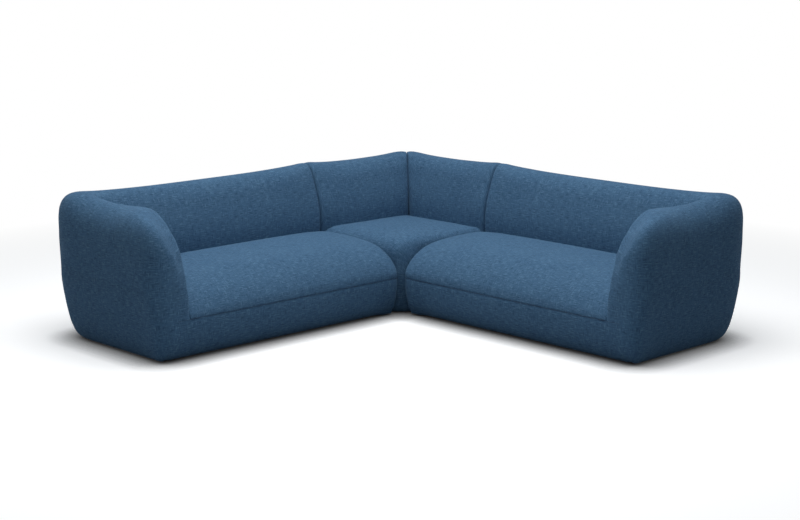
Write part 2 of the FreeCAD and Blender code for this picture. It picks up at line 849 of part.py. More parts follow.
def back_belts(prefix, first, last, count):
    """Belts stretched along the formers' leaning front edges."""
    low = (size.former_front, size.seat_height + 20)
    high = (size.former_top_front, size.back_height - size.former_top_drop)
    lean = math.atan2(float(low[0]) - float(high[0]), float(high[1]) - float(low[1]))
    edge = math.hypot(float(low[0]) - float(high[0]), float(high[1]) - float(low[1]))
    off_n = size.belt_thickness * math.cos(lean)
    off_z = size.belt_thickness * math.sin(lean)
    members = []
    for number in range(count):
        middle = (number + 0.5) / count
        half = float(size.belt_width) / edge / 2
        foot, head = middle - half, middle + half
        near = (between(low[0], high[0], foot), between(low[1], high[1], foot))
        far = (between(low[0], high[0], head), between(low[1], high[1], head))
        points = [near, far, (far[0] + off_n, far[1] + off_z), (near[0] + off_n, near[1] + off_z)]
        members.append(prism("%s_back_belt_%d" % (prefix, number + 1), "s", points, first, last))
    return members


# Links between modules: the hook of an end unit drops behind the tongue of the corner unit's catch

def link_catch(label, n):
    joint = size.module_depth
    half_plate, half_hook = size.link_plate_width / 2, size.link_hook_width / 2
    low = size.link_catch_bottom
    face = corner_frame_end + size.link_plate
    plate = box(label + "_plate", (corner_frame_end, face), (n - half_plate, n + half_plate),
                (low, low + size.link_catch_plate_height))
    reach = joint - size.link_catch_reach
    top = link_under - size.link_seat_play
    cup = prism(label + "_cup", "n", [
        (face, low),
        (reach, low),
        (reach, top),
        (reach - size.link_plate, top),
        (reach - size.link_plate, low + size.link_plate),
        (face, low + size.link_plate),
    ], n - half_hook, n + half_hook)
    return joined(label + "_pressing", [plate, cup])


def link_hook(label, n):
    joint = size.module_depth
    half_plate, half_hook = size.link_plate_width / 2, size.link_hook_width / 2
    under = link_under
    top = under + size.link_plate
    face = side_frame_start - size.link_plate
    plate = box(label + "_plate", (face, side_frame_start), (n - half_plate, n + half_plate),
                (top - size.link_hook_plate_height, top))
    outer = joint - size.link_catch_reach - size.link_plate - size.link_play
    tip = size.link_catch_bottom + size.link_plate * 2
    claw = prism(label + "_claw", "n", [
        (face, top),
        (outer - size.link_plate, top),
        (outer - size.link_plate, tip),
        (outer, tip),
        (outer, under),
        (face, under),
    ], n - half_hook, n + half_hook)
    return joined(label + "_pressing", [plate, claw])


link_screw_shape = hex_screw("link_screw", size.link_head_reach, size.link_head_height,
                             size.link_screw_radius, size.link_screw_length)


def link_set(prefix, make_link, face, into_side, height):
    """Both links of one joint: pierced pressings, and the screws that hold them to the rail."""
    pressings, screws = [], []
    for number, n in enumerate((size.link_first, size.module_depth - size.link_front_gap), start=1):
        label = "%s_%d" % (prefix, number)
        holes = []
        for side, sign in (("back", -1), ("front", 1)):
            spot = n + size.link_screw_spread * (sign / 2)
            name = "%s_%s" % (label, side)
            through = (face - 5, face + 5)
            holes.append(level_peg(name + "_hole", through, spot, height, size.link_screw_radius))
            head_end = face - size.link_head_height if into_side else face + size.link_head_height
            screw = copy_of(name + "_screw", link_screw_shape, head_end, spot, height)
            turn = 90 if into_side else -90
            screw.Placement = Placement(screw.Placement.Base, Rotation(Vector(0, 1, 0), turn))
            screws.append(screw)
        pressings.append(cut(label, make_link(label, n), holes))
    return pressings, screws


def link_notches(prefix, s_span, z_span):
    """Openings in an apron or a back's end through which the links reach."""
    half = size.link_plate_width / 2 + 3
    notches = []
    for number, n in enumerate((size.link_first, size.module_depth - size.link_front_gap), start=1):
        notches.append(box("%s_notch_%d" % (prefix, number), s_span, (n - half, n + half), z_span))
    return notches


catch_height = size.link_catch_bottom + size.link_catch_plate_height - 12
hook_height = size.link_catch_bottom + size.link_catch_depth - size.link_hook_plate_height / 2
hook_top = link_under + size.link_plate
catch_face = corner_frame_end + size.link_plate
hook_face = side_frame_start - size.link_plate


def build_side_module():
    """The right end unit. Each of its pieces is mirrored for the left one."""
    prefix = "right"
    first_piece = len(nodes)
    outside = size.overall_width
    thick = size.rail_thickness
    start, end = side_frame_start, side_frame_end
    cut_back = size.frame_corner_cut
    rail_span = (rail_bottom, rail_top)
    inner_n = (frame_back + thick, frame_front - thick)

    hooks, hook_screws = link_set(prefix + "_hook", link_hook, hook_face, True, hook_height)
    rails = {
        "back_rail": ((start, end), (frame_back, frame_back + thick), rail_span),
        "front_rail": ((start + cut_back, end), (frame_front - thick, frame_front), rail_span),
        "arm_rail": ((end - thick, end), inner_n, rail_span),
        "link_rail": ((start, start + thick), (frame_back + thick, frame_front - cut_back), rail_span),
    }
    for number in (1, 2):
        middle = between(start, end, number / 3)
        rails["cross_rail_%d" % number] = ((middle - thick / 2, middle + thick / 2), inner_n, rail_span)
    corner_rail = [
        (start, frame_front - cut_back),
        (start + thick, frame_front - cut_back),
        (start + cut_back, frame_front - thick),
        (start + cut_back, frame_front),
    ]
    half = size.block_size / 2
    near, far = start + thick + half, end - thick - half
    rear, fore = frame_back + thick + half, frame_front - thick - half
    places = [(near, rear), (far, rear), (near, frame_front - cut_back - half), (far, fore)]
    base_frame(prefix, rails, corner_rail, places)
    cloth = [(start, frame_back), (end, frame_back), (end, frame_front), (start + cut_back, frame_front),
             (start, frame_front - cut_back)]
    feet_and_dust_cover(prefix, places, cloth)
    add_node(prefix + "_link_hooks", group(prefix + "_link_hooks", hooks))
    add_node(prefix + "_link_screws", group(prefix + "_link_screws", hook_screws))

    # Back: formers, hardboard, webbing, foam and cover
    last = arm_plane - 20
    members = back_frame_members(prefix, back_frame_start, last, SIDE_FORMERS)
    add_node(prefix + "_back_frame", group(prefix + "_back_frame", members))
    board = (size.former_inset - size.panel_thickness, size.former_inset)
    back_board = box(prefix + "_board", (back_frame_start, last), board, (rail_top, size.back_height - size.panel_drop))
    add_node(prefix + "_back_panel", back_board)
    belts = back_belts(prefix, back_frame_start, last, BACK_BELTS)
    add_node(prefix + "_back_webbing", group(prefix + "_back_webbing", belts))
    foam_block = prism(prefix + "_back_foam_block", "s", back_foam_outline(), side_start + 28, last)
    add_node(prefix + "_back_foam", cut(prefix + "_back_foam_pressed", foam_block, belts))
    corner = (float(arm_plane), float(size.arm_thickness))
    cover = back_cover_loft(prefix + "_back_loft", float(side_start), 1, *corner)
    lining = prism(prefix + "_back_lining", "s", back_lining_outline(), back_frame_start, last)
    arm_lining = prism(prefix + "_arm_lining", "s", arm_outline(felt_top), arm_plane + 35, outside - 60)
    room = box(prefix + "_base_room", (start, end), (frame_back, frame_front), (under_floor, felt_top))
    floor = box(prefix + "_back_floor", (ZERO, outside), (ZERO, size.module_depth), floor_span)
    inside = joined(prefix + "_back_inside", [lining, arm_lining, room, floor])
    add_node(prefix + "_back_cover", cut(prefix + "_back_shell", cover, [inside]))

    # Arm: plywood panel with battens, foam and cover
    panel = (end - size.former_thickness, end)
    arm_panel = prism(prefix + "_arm_panel", "s", arm_outline(rail_top), *panel)
    battens = []
    for level, z in (("upper", size.back_height - 140), ("lower", size.seat_height)):
        span_n = (size.back_thickness, size.module_depth - size.arm_nose_length)
        span_s = (end, end + 20)
        battens.append(box("%s_arm_%s_batten" % (prefix, level), span_s, span_n, (z, z + size.batten_width)))
    add_node(prefix + "_arm_frame", group(prefix + "_arm_frame", [arm_panel] + battens))
    outer_span = (end + 20, outside - 60)
    inner_span = (arm_plane + 35, end - size.former_thickness)
    slabs = [
        prism(prefix + "_arm_outer_foam", "s", arm_outline(felt_top), *outer_span),
        prism(prefix + "_arm_inner_foam", "s", arm_outline(felt_top), *inner_span),
    ]
    add_node(prefix + "_arm_foam", group(prefix + "_arm_foam", slabs))
    arm = arm_cover_loft(prefix + "_arm_loft")
    arm_room = box(prefix + "_arm_room", (start, end), (frame_back, frame_front), (under_floor, felt_top))
    floor = box(prefix + "_arm_floor", (ZERO, outside), (ZERO, size.module_depth), floor_span)
    inside = joined(prefix + "_arm_inside", [arm_lining, arm_room, floor])
    add_node(prefix + "_arm_cover", cut(prefix + "_arm_shell", arm, [inside]))

    # Seat: webbing, felt, foam, cover and aprons. All three stop at the cut-off corner of the frame
    beyond = [(start - 50, frame_front - cut_back - 50), (start + cut_back + 50, frame_front + 50),
              (start - 50, frame_front + 50)]
    corner_off = prism(prefix + "_corner_off", "z", beyond, rail_top - 1, size.seam_height + 0.5)
    seat_span = (frame_back, frame_front)
    belts = belts_between_formers(
        prefix + "_seat", back_frame_start, last, SIDE_FORMERS, seat_span, rail_top)
    half_belt = size.belt_width / 2
    for number in range(BELTS_PER_SPACE):
        n = between(foam_back, frame_front, (number + 0.5) / BELTS_PER_SPACE)
        height = (rail_top + size.belt_thickness, felt_bottom)
        spans = ((start, arm_plane - 5), (n - half_belt, n + half_belt), height)
        belts.append(box("%s_seat_long_belt_%d" % (prefix, number + 1), *spans))
    webbing = group(prefix + "_seat_belts", belts)
    add_node(prefix + "_seat_webbing", cut(prefix + "_seat_belts_trimmed", webbing, [corner_off]))
    felt_span = (felt_bottom, felt_top)
    felt = box(prefix + "_felt_sheet", (start + thick, seat_end), (foam_back, frame_front), felt_span)
    add_node(prefix + "_seat_felt", cut(prefix + "_felt_trimmed", felt, [corner_off]))
    foam_s = (side_start + size.seat_fill, seat_end - 25)
    foam = prism(prefix + "_seat_foam_block", "s", seat_foam_outline(felt_top, foam_front), *foam_s)
    add_node(prefix + "_seat_foam", cut(prefix + "_seat_foam_trimmed", foam, [corner_off]))
    ends = (float(side_start), float(seat_end))
    seat = seat_cover_loft(prefix + "_seat_loft", *ends, float(size.module_depth), False)
    seat_room = prism(prefix + "_seat_lining", "s", seat_foam_outline(felt_top, foam_front), *foam_s)
    add_node(prefix + "_seat_cover", cut(prefix + "_seat_shell", seat, [seat_room]))
    add_node(prefix + "_front_apron", front_apron_loft(prefix + "_front_apron_loft"))
    notch_z = (size.link_catch_bottom - 30, hook_top + 30)
    notches = link_notches(prefix + "_end_apron", (side_start - 1, start), notch_z)
    end_apron = end_apron_loft(prefix + "_end_apron_loft")
    add_node(prefix + "_end_apron", cut(prefix + "_end_apron_notched", end_apron, notches))

    for piece in nodes[first_piece:]:
        add_mirrored(piece.Label.replace("right_", "left_"), piece)


def build_corner_module():
    """The corner unit, symmetric about the diagonal: its left-hand pieces are mirrored ones."""
    prefix = "corner"
    thick = size.rail_thickness
    start, end = frame_back, corner_frame_end
    cut_back = size.frame_corner_cut
    rail_span = (rail_bottom, rail_top)

    # Base frame, feet and links
    catches, catch_screws = link_set(prefix + "_catch", link_catch, catch_face, False, catch_height)
    middle = between(start, end, 0.5)
    rails = {
        "right_back_rail": ((start, end), (start, start + thick), rail_span),
        "left_back_rail": ((start, start + thick), (start + thick, end), rail_span),
        "cross_rail": ((middle - thick / 2, middle + thick / 2), (start + thick, end - thick), rail_span),
    }
    rails["right_link_rail"] = ((end - thick, end), (start + thick, end - cut_back), rail_span)
    rails["left_link_rail"] = ((start + thick, end - cut_back), (end - thick, end), rail_span)
    corner_rail = [
        (end, end - cut_back),
        (end - cut_back, end),
        (end - cut_back, end - thick),
        (end - thick, end - cut_back),
    ]
    half = size.block_size / 2
    near, far = start + thick + half, end - thick - half
    places = [(near, near), (near, far), (far, near), (far, end - cut_back - half)]
    base_frame(prefix, rails, corner_rail, places)
    cloth = [(start, start), (end, start), (end, end - cut_back), (end - cut_back, end), (start, end)]
    feet_and_dust_cover(prefix, places, cloth)
    for name, members in (("link_catches", catches), ("link_screws", catch_screws)):
        label = prefix + "_" + name
        right_hand = group(label + "_right", members)
        add_node(label, group(label, [right_hand, mirrored(label + "_left", right_hand)]))

    # Back frame: a post in the corner and formers towards each joint
    first, last = size.back_thickness + 20, end - 4
    formers = back_frame_members(prefix, first, last, CORNER_FORMERS)
    left_label = prefix + "_left_back_member_%d"
    left = [mirrored(left_label % number, member) for number, member in enumerate(formers, 1)]
    post = (start, start + size.corner_post_width)
    post_room = box(prefix + "_post_room", post, post, (rail_top, size.back_height - size.panel_drop))
    corner_post = box(prefix + "_post", post, post, (rail_top, size.back_height - size.panel_drop))
    add_node(prefix + "_back_frame", group(prefix + "_back_frame", [corner_post] + formers + left))
    board = (size.former_inset - size.panel_thickness, size.former_inset)
    right_board = box(prefix + "_right_board", (first, last), board, (rail_top, size.back_height - size.panel_drop))
    boards = [right_board, mirrored(prefix + "_left_board", right_board)]
    add_node(prefix + "_back_panels", group(prefix + "_back_panels", boards))
    belts = back_belts(prefix, first, last, BACK_BELTS)
    right_belts = group(prefix + "_right_belts", belts)
    both_belts = [right_belts, mirrored(prefix + "_left_belts", right_belts)]
    add_node(prefix + "_back_webbing", group(prefix + "_back_webbing", both_belts))

    # Back foam and covers, mitred where the two backs meet
    foam_block = prism(prefix + "_back_foam_block", "s", back_foam_outline(), first - 10, corner_end - 28)
    foam = add_node(prefix + "_right_back_foam", cut(prefix + "_back_foam_pressed", foam_block, belts))
    add_mirrored(prefix + "_left_back_foam", foam)
    thickness = float(size.back_thickness)
    cover = back_cover_loft(prefix + "_back_loft", float(corner_end), -1, thickness, -thickness)
    lining = prism(prefix + "_back_lining", "s", back_lining_outline(), first - 10, last)
    room = box(prefix + "_base_room", (start, end), (start, end), (under_floor, felt_top))
    floor = box(prefix + "_back_floor", (ZERO, size.module_depth), (ZERO, size.module_depth), floor_span)
    inside = joined(prefix + "_back_inside", [lining, post_room, room, floor])
    right_cover = add_node(prefix + "_right_back_cover", cut(prefix + "_back_shell", cover, [inside]))
    add_mirrored(prefix + "_left_back_cover", right_cover)

    # Seat
    across = belts_between_formers(prefix + "_seat", first, last, CORNER_FORMERS, (start, end), rail_top)
    along = belts_between_formers(prefix + "_seat_upper", first, last, CORNER_FORMERS, (start, end),
                                  rail_top + size.belt_thickness)
    belt_label = prefix + "_seat_turned_belt_%d"
    turned_belts = [mirrored(belt_label % number, belt) for number, belt in enumerate(along, 1)]
    beyond = [(end + 50, end - cut_back - 50), (end - cut_back - 50, end + 50), (end + 50, end + 50)]
    corner_off = prism(prefix + "_corner_off", "z", beyond, rail_top - 1, size.seam_height + 0.5)
    webbing = group(prefix + "_seat_belts", across + turned_belts)
    add_node(prefix + "_seat_webbing", cut(prefix + "_seat_belts_trimmed", webbing, [corner_off]))
    foam_span = (foam_back, corner_end - size.seat_fill)
    felt = box(prefix + "_felt_sheet", foam_span, foam_span, (felt_bottom, felt_top))
    add_node(prefix + "_seat_felt", felt)
    foam_outline = seat_foam_outline(felt_top, corner_end - size.seat_fill)
    add_node(prefix + "_seat_foam", prism(prefix + "_seat_foam_block", "s", foam_outline, *foam_span))
    reach = float(corner_end)
    seat = seat_cover_loft(prefix + "_seat_loft", reach, float(seat_back), reach, True)
    seat_room = prism(prefix + "_seat_lining", "s", foam_outline, *foam_span)
    add_node(prefix + "_seat_cover", cut(prefix + "_seat_shell", seat, [seat_room]))
    notch_z = (size.link_catch_bottom - 30, hook_top + size.link_lift + 5)
    notches = link_notches(prefix + "_apron", (end, corner_end + 1), notch_z)
    apron = cut(prefix + "_apron_notched", corner_apron_loft(prefix + "_apron_loft"), notches)
    right_apron = add_node(prefix + "_right_apron", apron)
    add_mirrored(prefix + "_left_apron", right_apron)


def check_and_write():
    """Stop on any failed object or shape, then write one file for each sub-part."""
    doc.recompute()
    for obj in doc.Objects:
        if "Invalid" in obj.State or "Error" in obj.State:
            raise RuntimeError("%s did not compute: %s" % (obj.Label, obj.State))
    for piece in nodes:
        if piece.Shape.isNull() or not piece.Shape.isValid():
            raise RuntimeError("%s has no valid shape" % piece.Label)
        if not piece.Shape.Solids or min(solid.Volume for solid in piece.Shape.Solids) <= 0:
            raise RuntimeError("%s has an empty solid" % piece.Label)
    os.makedirs("parts", exist_ok=True)
    for piece in nodes:
        piece.Shape.exportStep("parts/%s.step" % piece.Label)
        print(piece.Label, len(piece.Shape.Solids), "solids, %.2f litres" % (piece.Shape.Volume / 1e6))
    print(len(nodes), "sub-parts")


build_corner_module()
build_side_module()
check_and_write()
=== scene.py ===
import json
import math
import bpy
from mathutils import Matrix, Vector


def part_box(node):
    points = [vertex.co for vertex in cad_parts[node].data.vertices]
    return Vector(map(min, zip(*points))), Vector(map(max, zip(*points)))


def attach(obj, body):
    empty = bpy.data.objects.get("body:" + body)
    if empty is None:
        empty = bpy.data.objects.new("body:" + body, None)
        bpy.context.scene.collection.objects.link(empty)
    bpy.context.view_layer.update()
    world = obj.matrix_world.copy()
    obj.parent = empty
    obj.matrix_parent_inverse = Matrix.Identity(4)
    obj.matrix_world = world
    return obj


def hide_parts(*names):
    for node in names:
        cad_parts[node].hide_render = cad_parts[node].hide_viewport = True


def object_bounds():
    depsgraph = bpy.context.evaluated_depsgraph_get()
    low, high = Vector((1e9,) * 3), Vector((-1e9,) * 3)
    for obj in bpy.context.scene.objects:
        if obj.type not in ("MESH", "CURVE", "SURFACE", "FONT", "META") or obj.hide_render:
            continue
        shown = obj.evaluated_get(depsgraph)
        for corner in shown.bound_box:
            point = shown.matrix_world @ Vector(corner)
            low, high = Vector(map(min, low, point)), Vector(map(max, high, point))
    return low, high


bl_info = {
    "name": "Corner Sofa",
    "version": (1, 0, 0),
    "blender": (4, 5, 0),
    "location": "View3D > Sidebar > Corner Sofa",
    "description": "Upholsters a corner sofa over its packed frame, and lights it",
    "category": "Add Mesh",
}

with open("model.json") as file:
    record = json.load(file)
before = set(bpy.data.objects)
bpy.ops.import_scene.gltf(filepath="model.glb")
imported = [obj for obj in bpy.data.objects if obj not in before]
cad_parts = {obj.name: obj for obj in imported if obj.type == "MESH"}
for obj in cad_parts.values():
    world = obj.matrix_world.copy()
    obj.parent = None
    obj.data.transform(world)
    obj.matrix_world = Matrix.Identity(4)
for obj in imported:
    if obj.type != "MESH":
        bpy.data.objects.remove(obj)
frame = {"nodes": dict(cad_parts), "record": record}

import bmesh
import bpy
import numpy as np
from bpy.props import FloatProperty, FloatVectorProperty, PointerProperty
from mathutils import Vector

CAD_BOX = [list(corner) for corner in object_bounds()]

# Each wing has coordinates of its own, in metres: s runs along it from the outer corner behind the sofa,
# n runs from the plane behind the back towards the seat's front, and z runs up.
CORNER_X = CAD_BOX[0][0]
CORNER_Y = CAD_BOX[1][1]
WING_LENGTH = CAD_BOX[1][0] - CAD_BOX[0][0]
CORNER_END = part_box("corner_seat_cover")[1][0] - CORNER_X
SIDE_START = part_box("right_seat_cover")[0][0] - CORNER_X
ARM_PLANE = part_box("right_seat_cover")[1][0] - CORNER_X
DEPTH = CORNER_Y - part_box("right_front_apron")[0][1]
# The cloth hangs lower than the solid apron, and its seam lies a little below the apron's top
HEM_DROP, SEAM_DROP = 0.023, 0.004
SKIRT_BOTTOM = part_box("right_front_apron")[0][2] - HEM_DROP
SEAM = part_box("right_front_apron")[1][2] - SEAM_DROP
ARM_WIDTH = WING_LENGTH - ARM_PLANE
RIGHT, LEFT = "right", "left"


# ---------------------------------------------------------------- sizes and colours

class SofaSizes(bpy.types.PropertyGroup):
    back_height: FloatProperty(name="Back height", description="Middle of a back's ridge above the floor",
                               default=0.749, unit="LENGTH")
    ear_rise: FloatProperty(name="Ear rise", description="How far a back's ends stand above its middle",
                            default=0.0155, unit="LENGTH")
    back_thickness: FloatProperty(name="Back thickness", description="A back's thickness at the seat",
                                  default=0.305, unit="LENGTH")
    seat_height: FloatProperty(name="Seat height", description="A seat's height beside the back, at its ends",
                               default=0.388, unit="LENGTH")
    seat_crown: FloatProperty(name="Seat crown", description="How far a seat's middle swells above its ends",
                              default=0.024, unit="LENGTH")
    end_roll: FloatProperty(name="End roll", description="Radius of a back's rolled end at a joint",
                            default=0.03, unit="LENGTH")
    seam_lip: FloatProperty(name="Seam lip", description="Radius of the cushion's edge along the front seam",
                            default=0.004, unit="LENGTH")
    grain: FloatProperty(name="Mesh size", description="Side of a soft piece's faces", default=0.0125,
                         unit="LENGTH")
    plump: FloatProperty(name="Plumpness", description="Air pressure that swells the soft pieces",
                         default=4.0)
    swell: FloatProperty(name="Largest swell", description="Furthest that pressure may move the cloth",
                         default=0.007, unit="LENGTH")


class SofaColours(bpy.types.PropertyGroup):
    cloth: FloatVectorProperty(name="Cloth", description="Main colour of the yarn", subtype="COLOR",
                               size=4, min=0, max=1, default=(0.060, 0.140, 0.247, 1))
    cloth_light: FloatVectorProperty(name="Pale yarn", description="Colour of the pale slubs",
                                     subtype="COLOR", size=4, min=0, max=1,
                                     default=(0.130, 0.255, 0.390, 1))
    # The dark yarns' colour, also used as painted shade between the yarns
    cloth_dark_and_shade: FloatVectorProperty(name="Dark yarn and shade", description="Colour between the yarns", subtype="COLOR",
                                    size=4, min=0, max=1, default=(0.017, 0.047, 0.102, 1))


def sizes():
    return bpy.context.scene.sofa_sizes


def colours():
    return bpy.context.scene.sofa_colours


# ---------------------------------------------------------------- outlines

# Points between two given ones of a smooth line, before they are spaced evenly
FINE_STEPS = 24


def smooth_line(points, count):
    """A smooth line through the points, as count points at even spacing."""
    pts = np.array(points, float)
    first = 2 * pts[0] - pts[1]
    last = 2 * pts[-1] - pts[-2]
    padded = np.vstack([first, pts, last])
    fine = []
    for index in range(1, len(padded) - 2):
        p0, p1, p2, p3 = padded[index - 1:index + 3]
        knots = [0.0]
        for a, b in ((p0, p1), (p1, p2), (p2, p3)):
            knots.append(knots[-1] + max(1e-9, np.linalg.norm(b - a)) ** 0.5)
        t0, t1, t2, t3 = knots
        for t in np.linspace(t1, t2, FINE_STEPS, endpoint=False):
            a1 = (t1 - t) / (t1 - t0) * p0 + (t - t0) / (t1 - t0) * p1
            a2 = (t2 - t) / (t2 - t1) * p1 + (t - t1) / (t2 - t1) * p2
            a3 = (t3 - t) / (t3 - t2) * p2 + (t - t2) / (t3 - t2) * p3
            b1 = (t2 - t) / (t2 - t0) * a1 + (t - t0) / (t2 - t0) * a2
            b2 = (t3 - t) / (t3 - t1) * a2 + (t - t1) / (t3 - t1) * a3
            fine.append((t2 - t) / (t2 - t1) * b1 + (t - t1) / (t2 - t1) * b2)
    fine.append(pts[-1])
    return even_line(np.array(fine), count)


def even_line(points, count):
    """The same line with count points at even spacing."""
    lengths = np.concatenate([[0], np.cumsum(np.linalg.norm(np.diff(points, axis=0), axis=1))])
    places = np.linspace(0, lengths[-1], count)
    return np.column_stack([np.interp(places, lengths, points[:, axis]) for axis in range(points.shape[1])])


def closed_loop(stretches):
    """Joins open lines into one loop without repeating the points where they meet."""
    return np.vstack([stretch[:-1] for stretch in stretches])


def quarter_roll(distance, radius):
    """How far a rolled edge of that radius has drawn in, at a distance from its end."""
    inside = np.clip(radius - distance, 0, radius)
    return radius - np.sqrt(radius ** 2 - inside ** 2)


def inward(loop, distance):
    """A loop of (n, z) points drawn in by a distance along its own normals."""
    ahead = np.roll(loop, -1, axis=0)
    behind = np.roll(loop, 1, axis=0)
    along = ahead - behind
    along /= np.maximum(np.linalg.norm(along, axis=1), 1e-9)[:, None]
    side = np.column_stack([-along[:, 1], along[:, 0]])
    area = np.sum(loop[:, 0] * ahead[:, 1] - ahead[:, 0] * loop[:, 1])
    return loop + side * distance * (1 if area > 0 else -1)


# A back's section as (n, z) in millimetres, for a back 305 thick and 748 high
FOOT_LINE = ((120, 7), (89, 24), (60, 72), (37, 150), (11, 300), (0, 450))
OUTER_WALL = FOOT_LINE + ((1, 550), (9, 620), (31, 676), (72, 716), (130, 740), (176, 748))
INNER_WALL = ((176, 748), (212, 732), (241, 690), (267, 622), (291, 546), (304, 477), (305, 405), (298, 350),
              (286, 290))
# Its outer line where the back turns into the arm, whose shoulder is squarer outside
CORNER_OUTER = FOOT_LINE + ((0, 558), (6, 636), (21, 688), (53, 725), (104, 744), (176, 748))
# Both lines on the arm's nose, whose ridge lies at its inner side
NOSE_OUTER = FOOT_LINE + ((1, 550), (8, 625), (28, 684), (74, 724), (150, 744), (258, 748))
NOSE_INNER = ((258, 748), (286, 742), (300, 724), (305, 690), (306, 622), (306, 540), (305, 470), (300, 400),
              (292, 290))
# The hollow towards the frame, and the runs that set how many faces cross the outer and the inner line
HOLLOW_DEPTH, HOLLOW_TOP = 135, 262
OUTER_RUN, INNER_RUN = 0.84, 0.50


def metres(line):
    return np.array(line, float) / 1000


def wall_section(outer=OUTER_WALL, inner=INNER_WALL):
    """A back's whole section as a loop of (n, z). Every variant has as many points."""
    step = sizes().grain
    outside = smooth_line(metres(outer), int(OUTER_RUN / step))
    inside = smooth_line(metres(inner), int(INNER_RUN / step))
    foot = outer[0]
    hollow = ((HOLLOW_DEPTH, HOLLOW_TOP), (HOLLOW_DEPTH, foot[1]))
    return closed_loop([outside, inside, even_line(metres((inner[-1], hollow[0])), 14),
                        even_line(metres(hollow), 20), even_line(metres((hollow[1], foot)), 3)])


def blended(first, second, share):
    return first + (second - first) * share


def smooth_step(share):
    """A share from 0 to 1 that starts and ends gently."""
    return share * share * (3 - 2 * share)


def eased(value, low, high):
    """0 below low, 1 above high, and a smooth step between."""
    return smooth_step(min(1.0, max(0.0, (value - low) / (high - low))))


def rounded(share, fullness):
    """The height of a quarter of a superellipse at a share of its width."""
    return (1 - share ** fullness) ** (1 / fullness)


def wall_ring(loop, top, bottom=SKIRT_BOTTOM, draw_in=0.0):
    """The wall's section between two heights: (depth share, z)."""
    size = sizes()
    ring = inward(loop, draw_in) if draw_in else loop.copy()
    ring[:, 1] = bottom + (ring[:, 1] - SKIRT_BOTTOM) * (top - bottom) / (size.back_height - SKIRT_BOTTOM)
    ring[:, 0] /= size.back_thickness
    return ring


# How far behind the inside corner its sections turn, how square the turn is outside, and its sections' number
TURN_STEP = 0.045
CORNER_FULLNESS = 3.7
CORNER_TURNS = 15


def corner_frame(corner_s, width):
    """The line that the sections of a corner turn about, behind its inside corner."""
    thick = sizes().back_thickness
    run = math.hypot(thick, width)
    return corner_s - TURN_STEP * width / run, thick + TURN_STEP * thick / run


def corner_ring(ring, angle, corner_s, width, on_back):
    """A section that turns through a corner. width is the other wall's thickness and its side."""
    thick = sizes().back_thickness
    pivot_s, pivot_n = corner_frame(corner_s, width)
    half_s, half_n = abs(corner_s + width - pivot_s), pivot_n
    run_s, run_n = math.cos(angle), math.sin(angle)
    ways = (run_s / half_s) ** CORNER_FULLNESS + (run_n / half_n) ** CORNER_FULLNESS
    reach = ways ** (-1 / CORNER_FULLNESS)
    inner = (pivot_n - thick) / run_n if on_back else abs(corner_s - pivot_s) / run_s
    outward = inner + (reach - inner) * (1 - ring[:, 0])
    s = pivot_s + math.copysign(1, width) * outward * run_s
    return np.column_stack([s, pivot_n - outward * run_n, ring[:, 1]])


def straight_ring(ring, s):
    return np.column_stack([np.full(len(ring), s), ring[:, 0] * sizes().back_thickness, ring[:, 1]])


def arm_ring(ring, n, inset):
    across = inset + ring[:, 0] * (ARM_WIDTH - inset)
    return np.column_stack([WING_LENGTH - across, np.full(len(ring), n), ring[:, 1]])


def ridge_rise(share):
    """How far the ridge stands above its middle, from 0 at one end of a back to 1 at the other."""
    return sizes().ear_rise * abs(2 * share - 1) ** 3.2


# ---------------------------------------------------------------- meshes

def to_world(points, side=RIGHT):
    """Wing coordinates to the frame's own. The left wing mirrors the right one about the diagonal."""
    points = np.asarray(points, float)
    s, n, z = points[..., 0], points[..., 1], points[..., 2]
    if side == LEFT:
        return np.stack([CORNER_X + n, CORNER_Y - s, z], axis=-1)
    return np.stack([CORNER_X + s, CORNER_Y - n, z], axis=-1)


def wing_place(points):
    """How far points of the frame lie along the right wing, and how deep in it."""
    return points[:, 0] - CORNER_X, CORNER_Y - points[:, 1]


def run_lengths(rows, axis):
    """How far a grid of points has run along one of its axes, from zero."""
    runs = np.cumsum(np.linalg.norm(np.diff(rows, axis=axis), axis=2), axis=axis)
    return np.insert(runs, 0, 0, axis=axis)


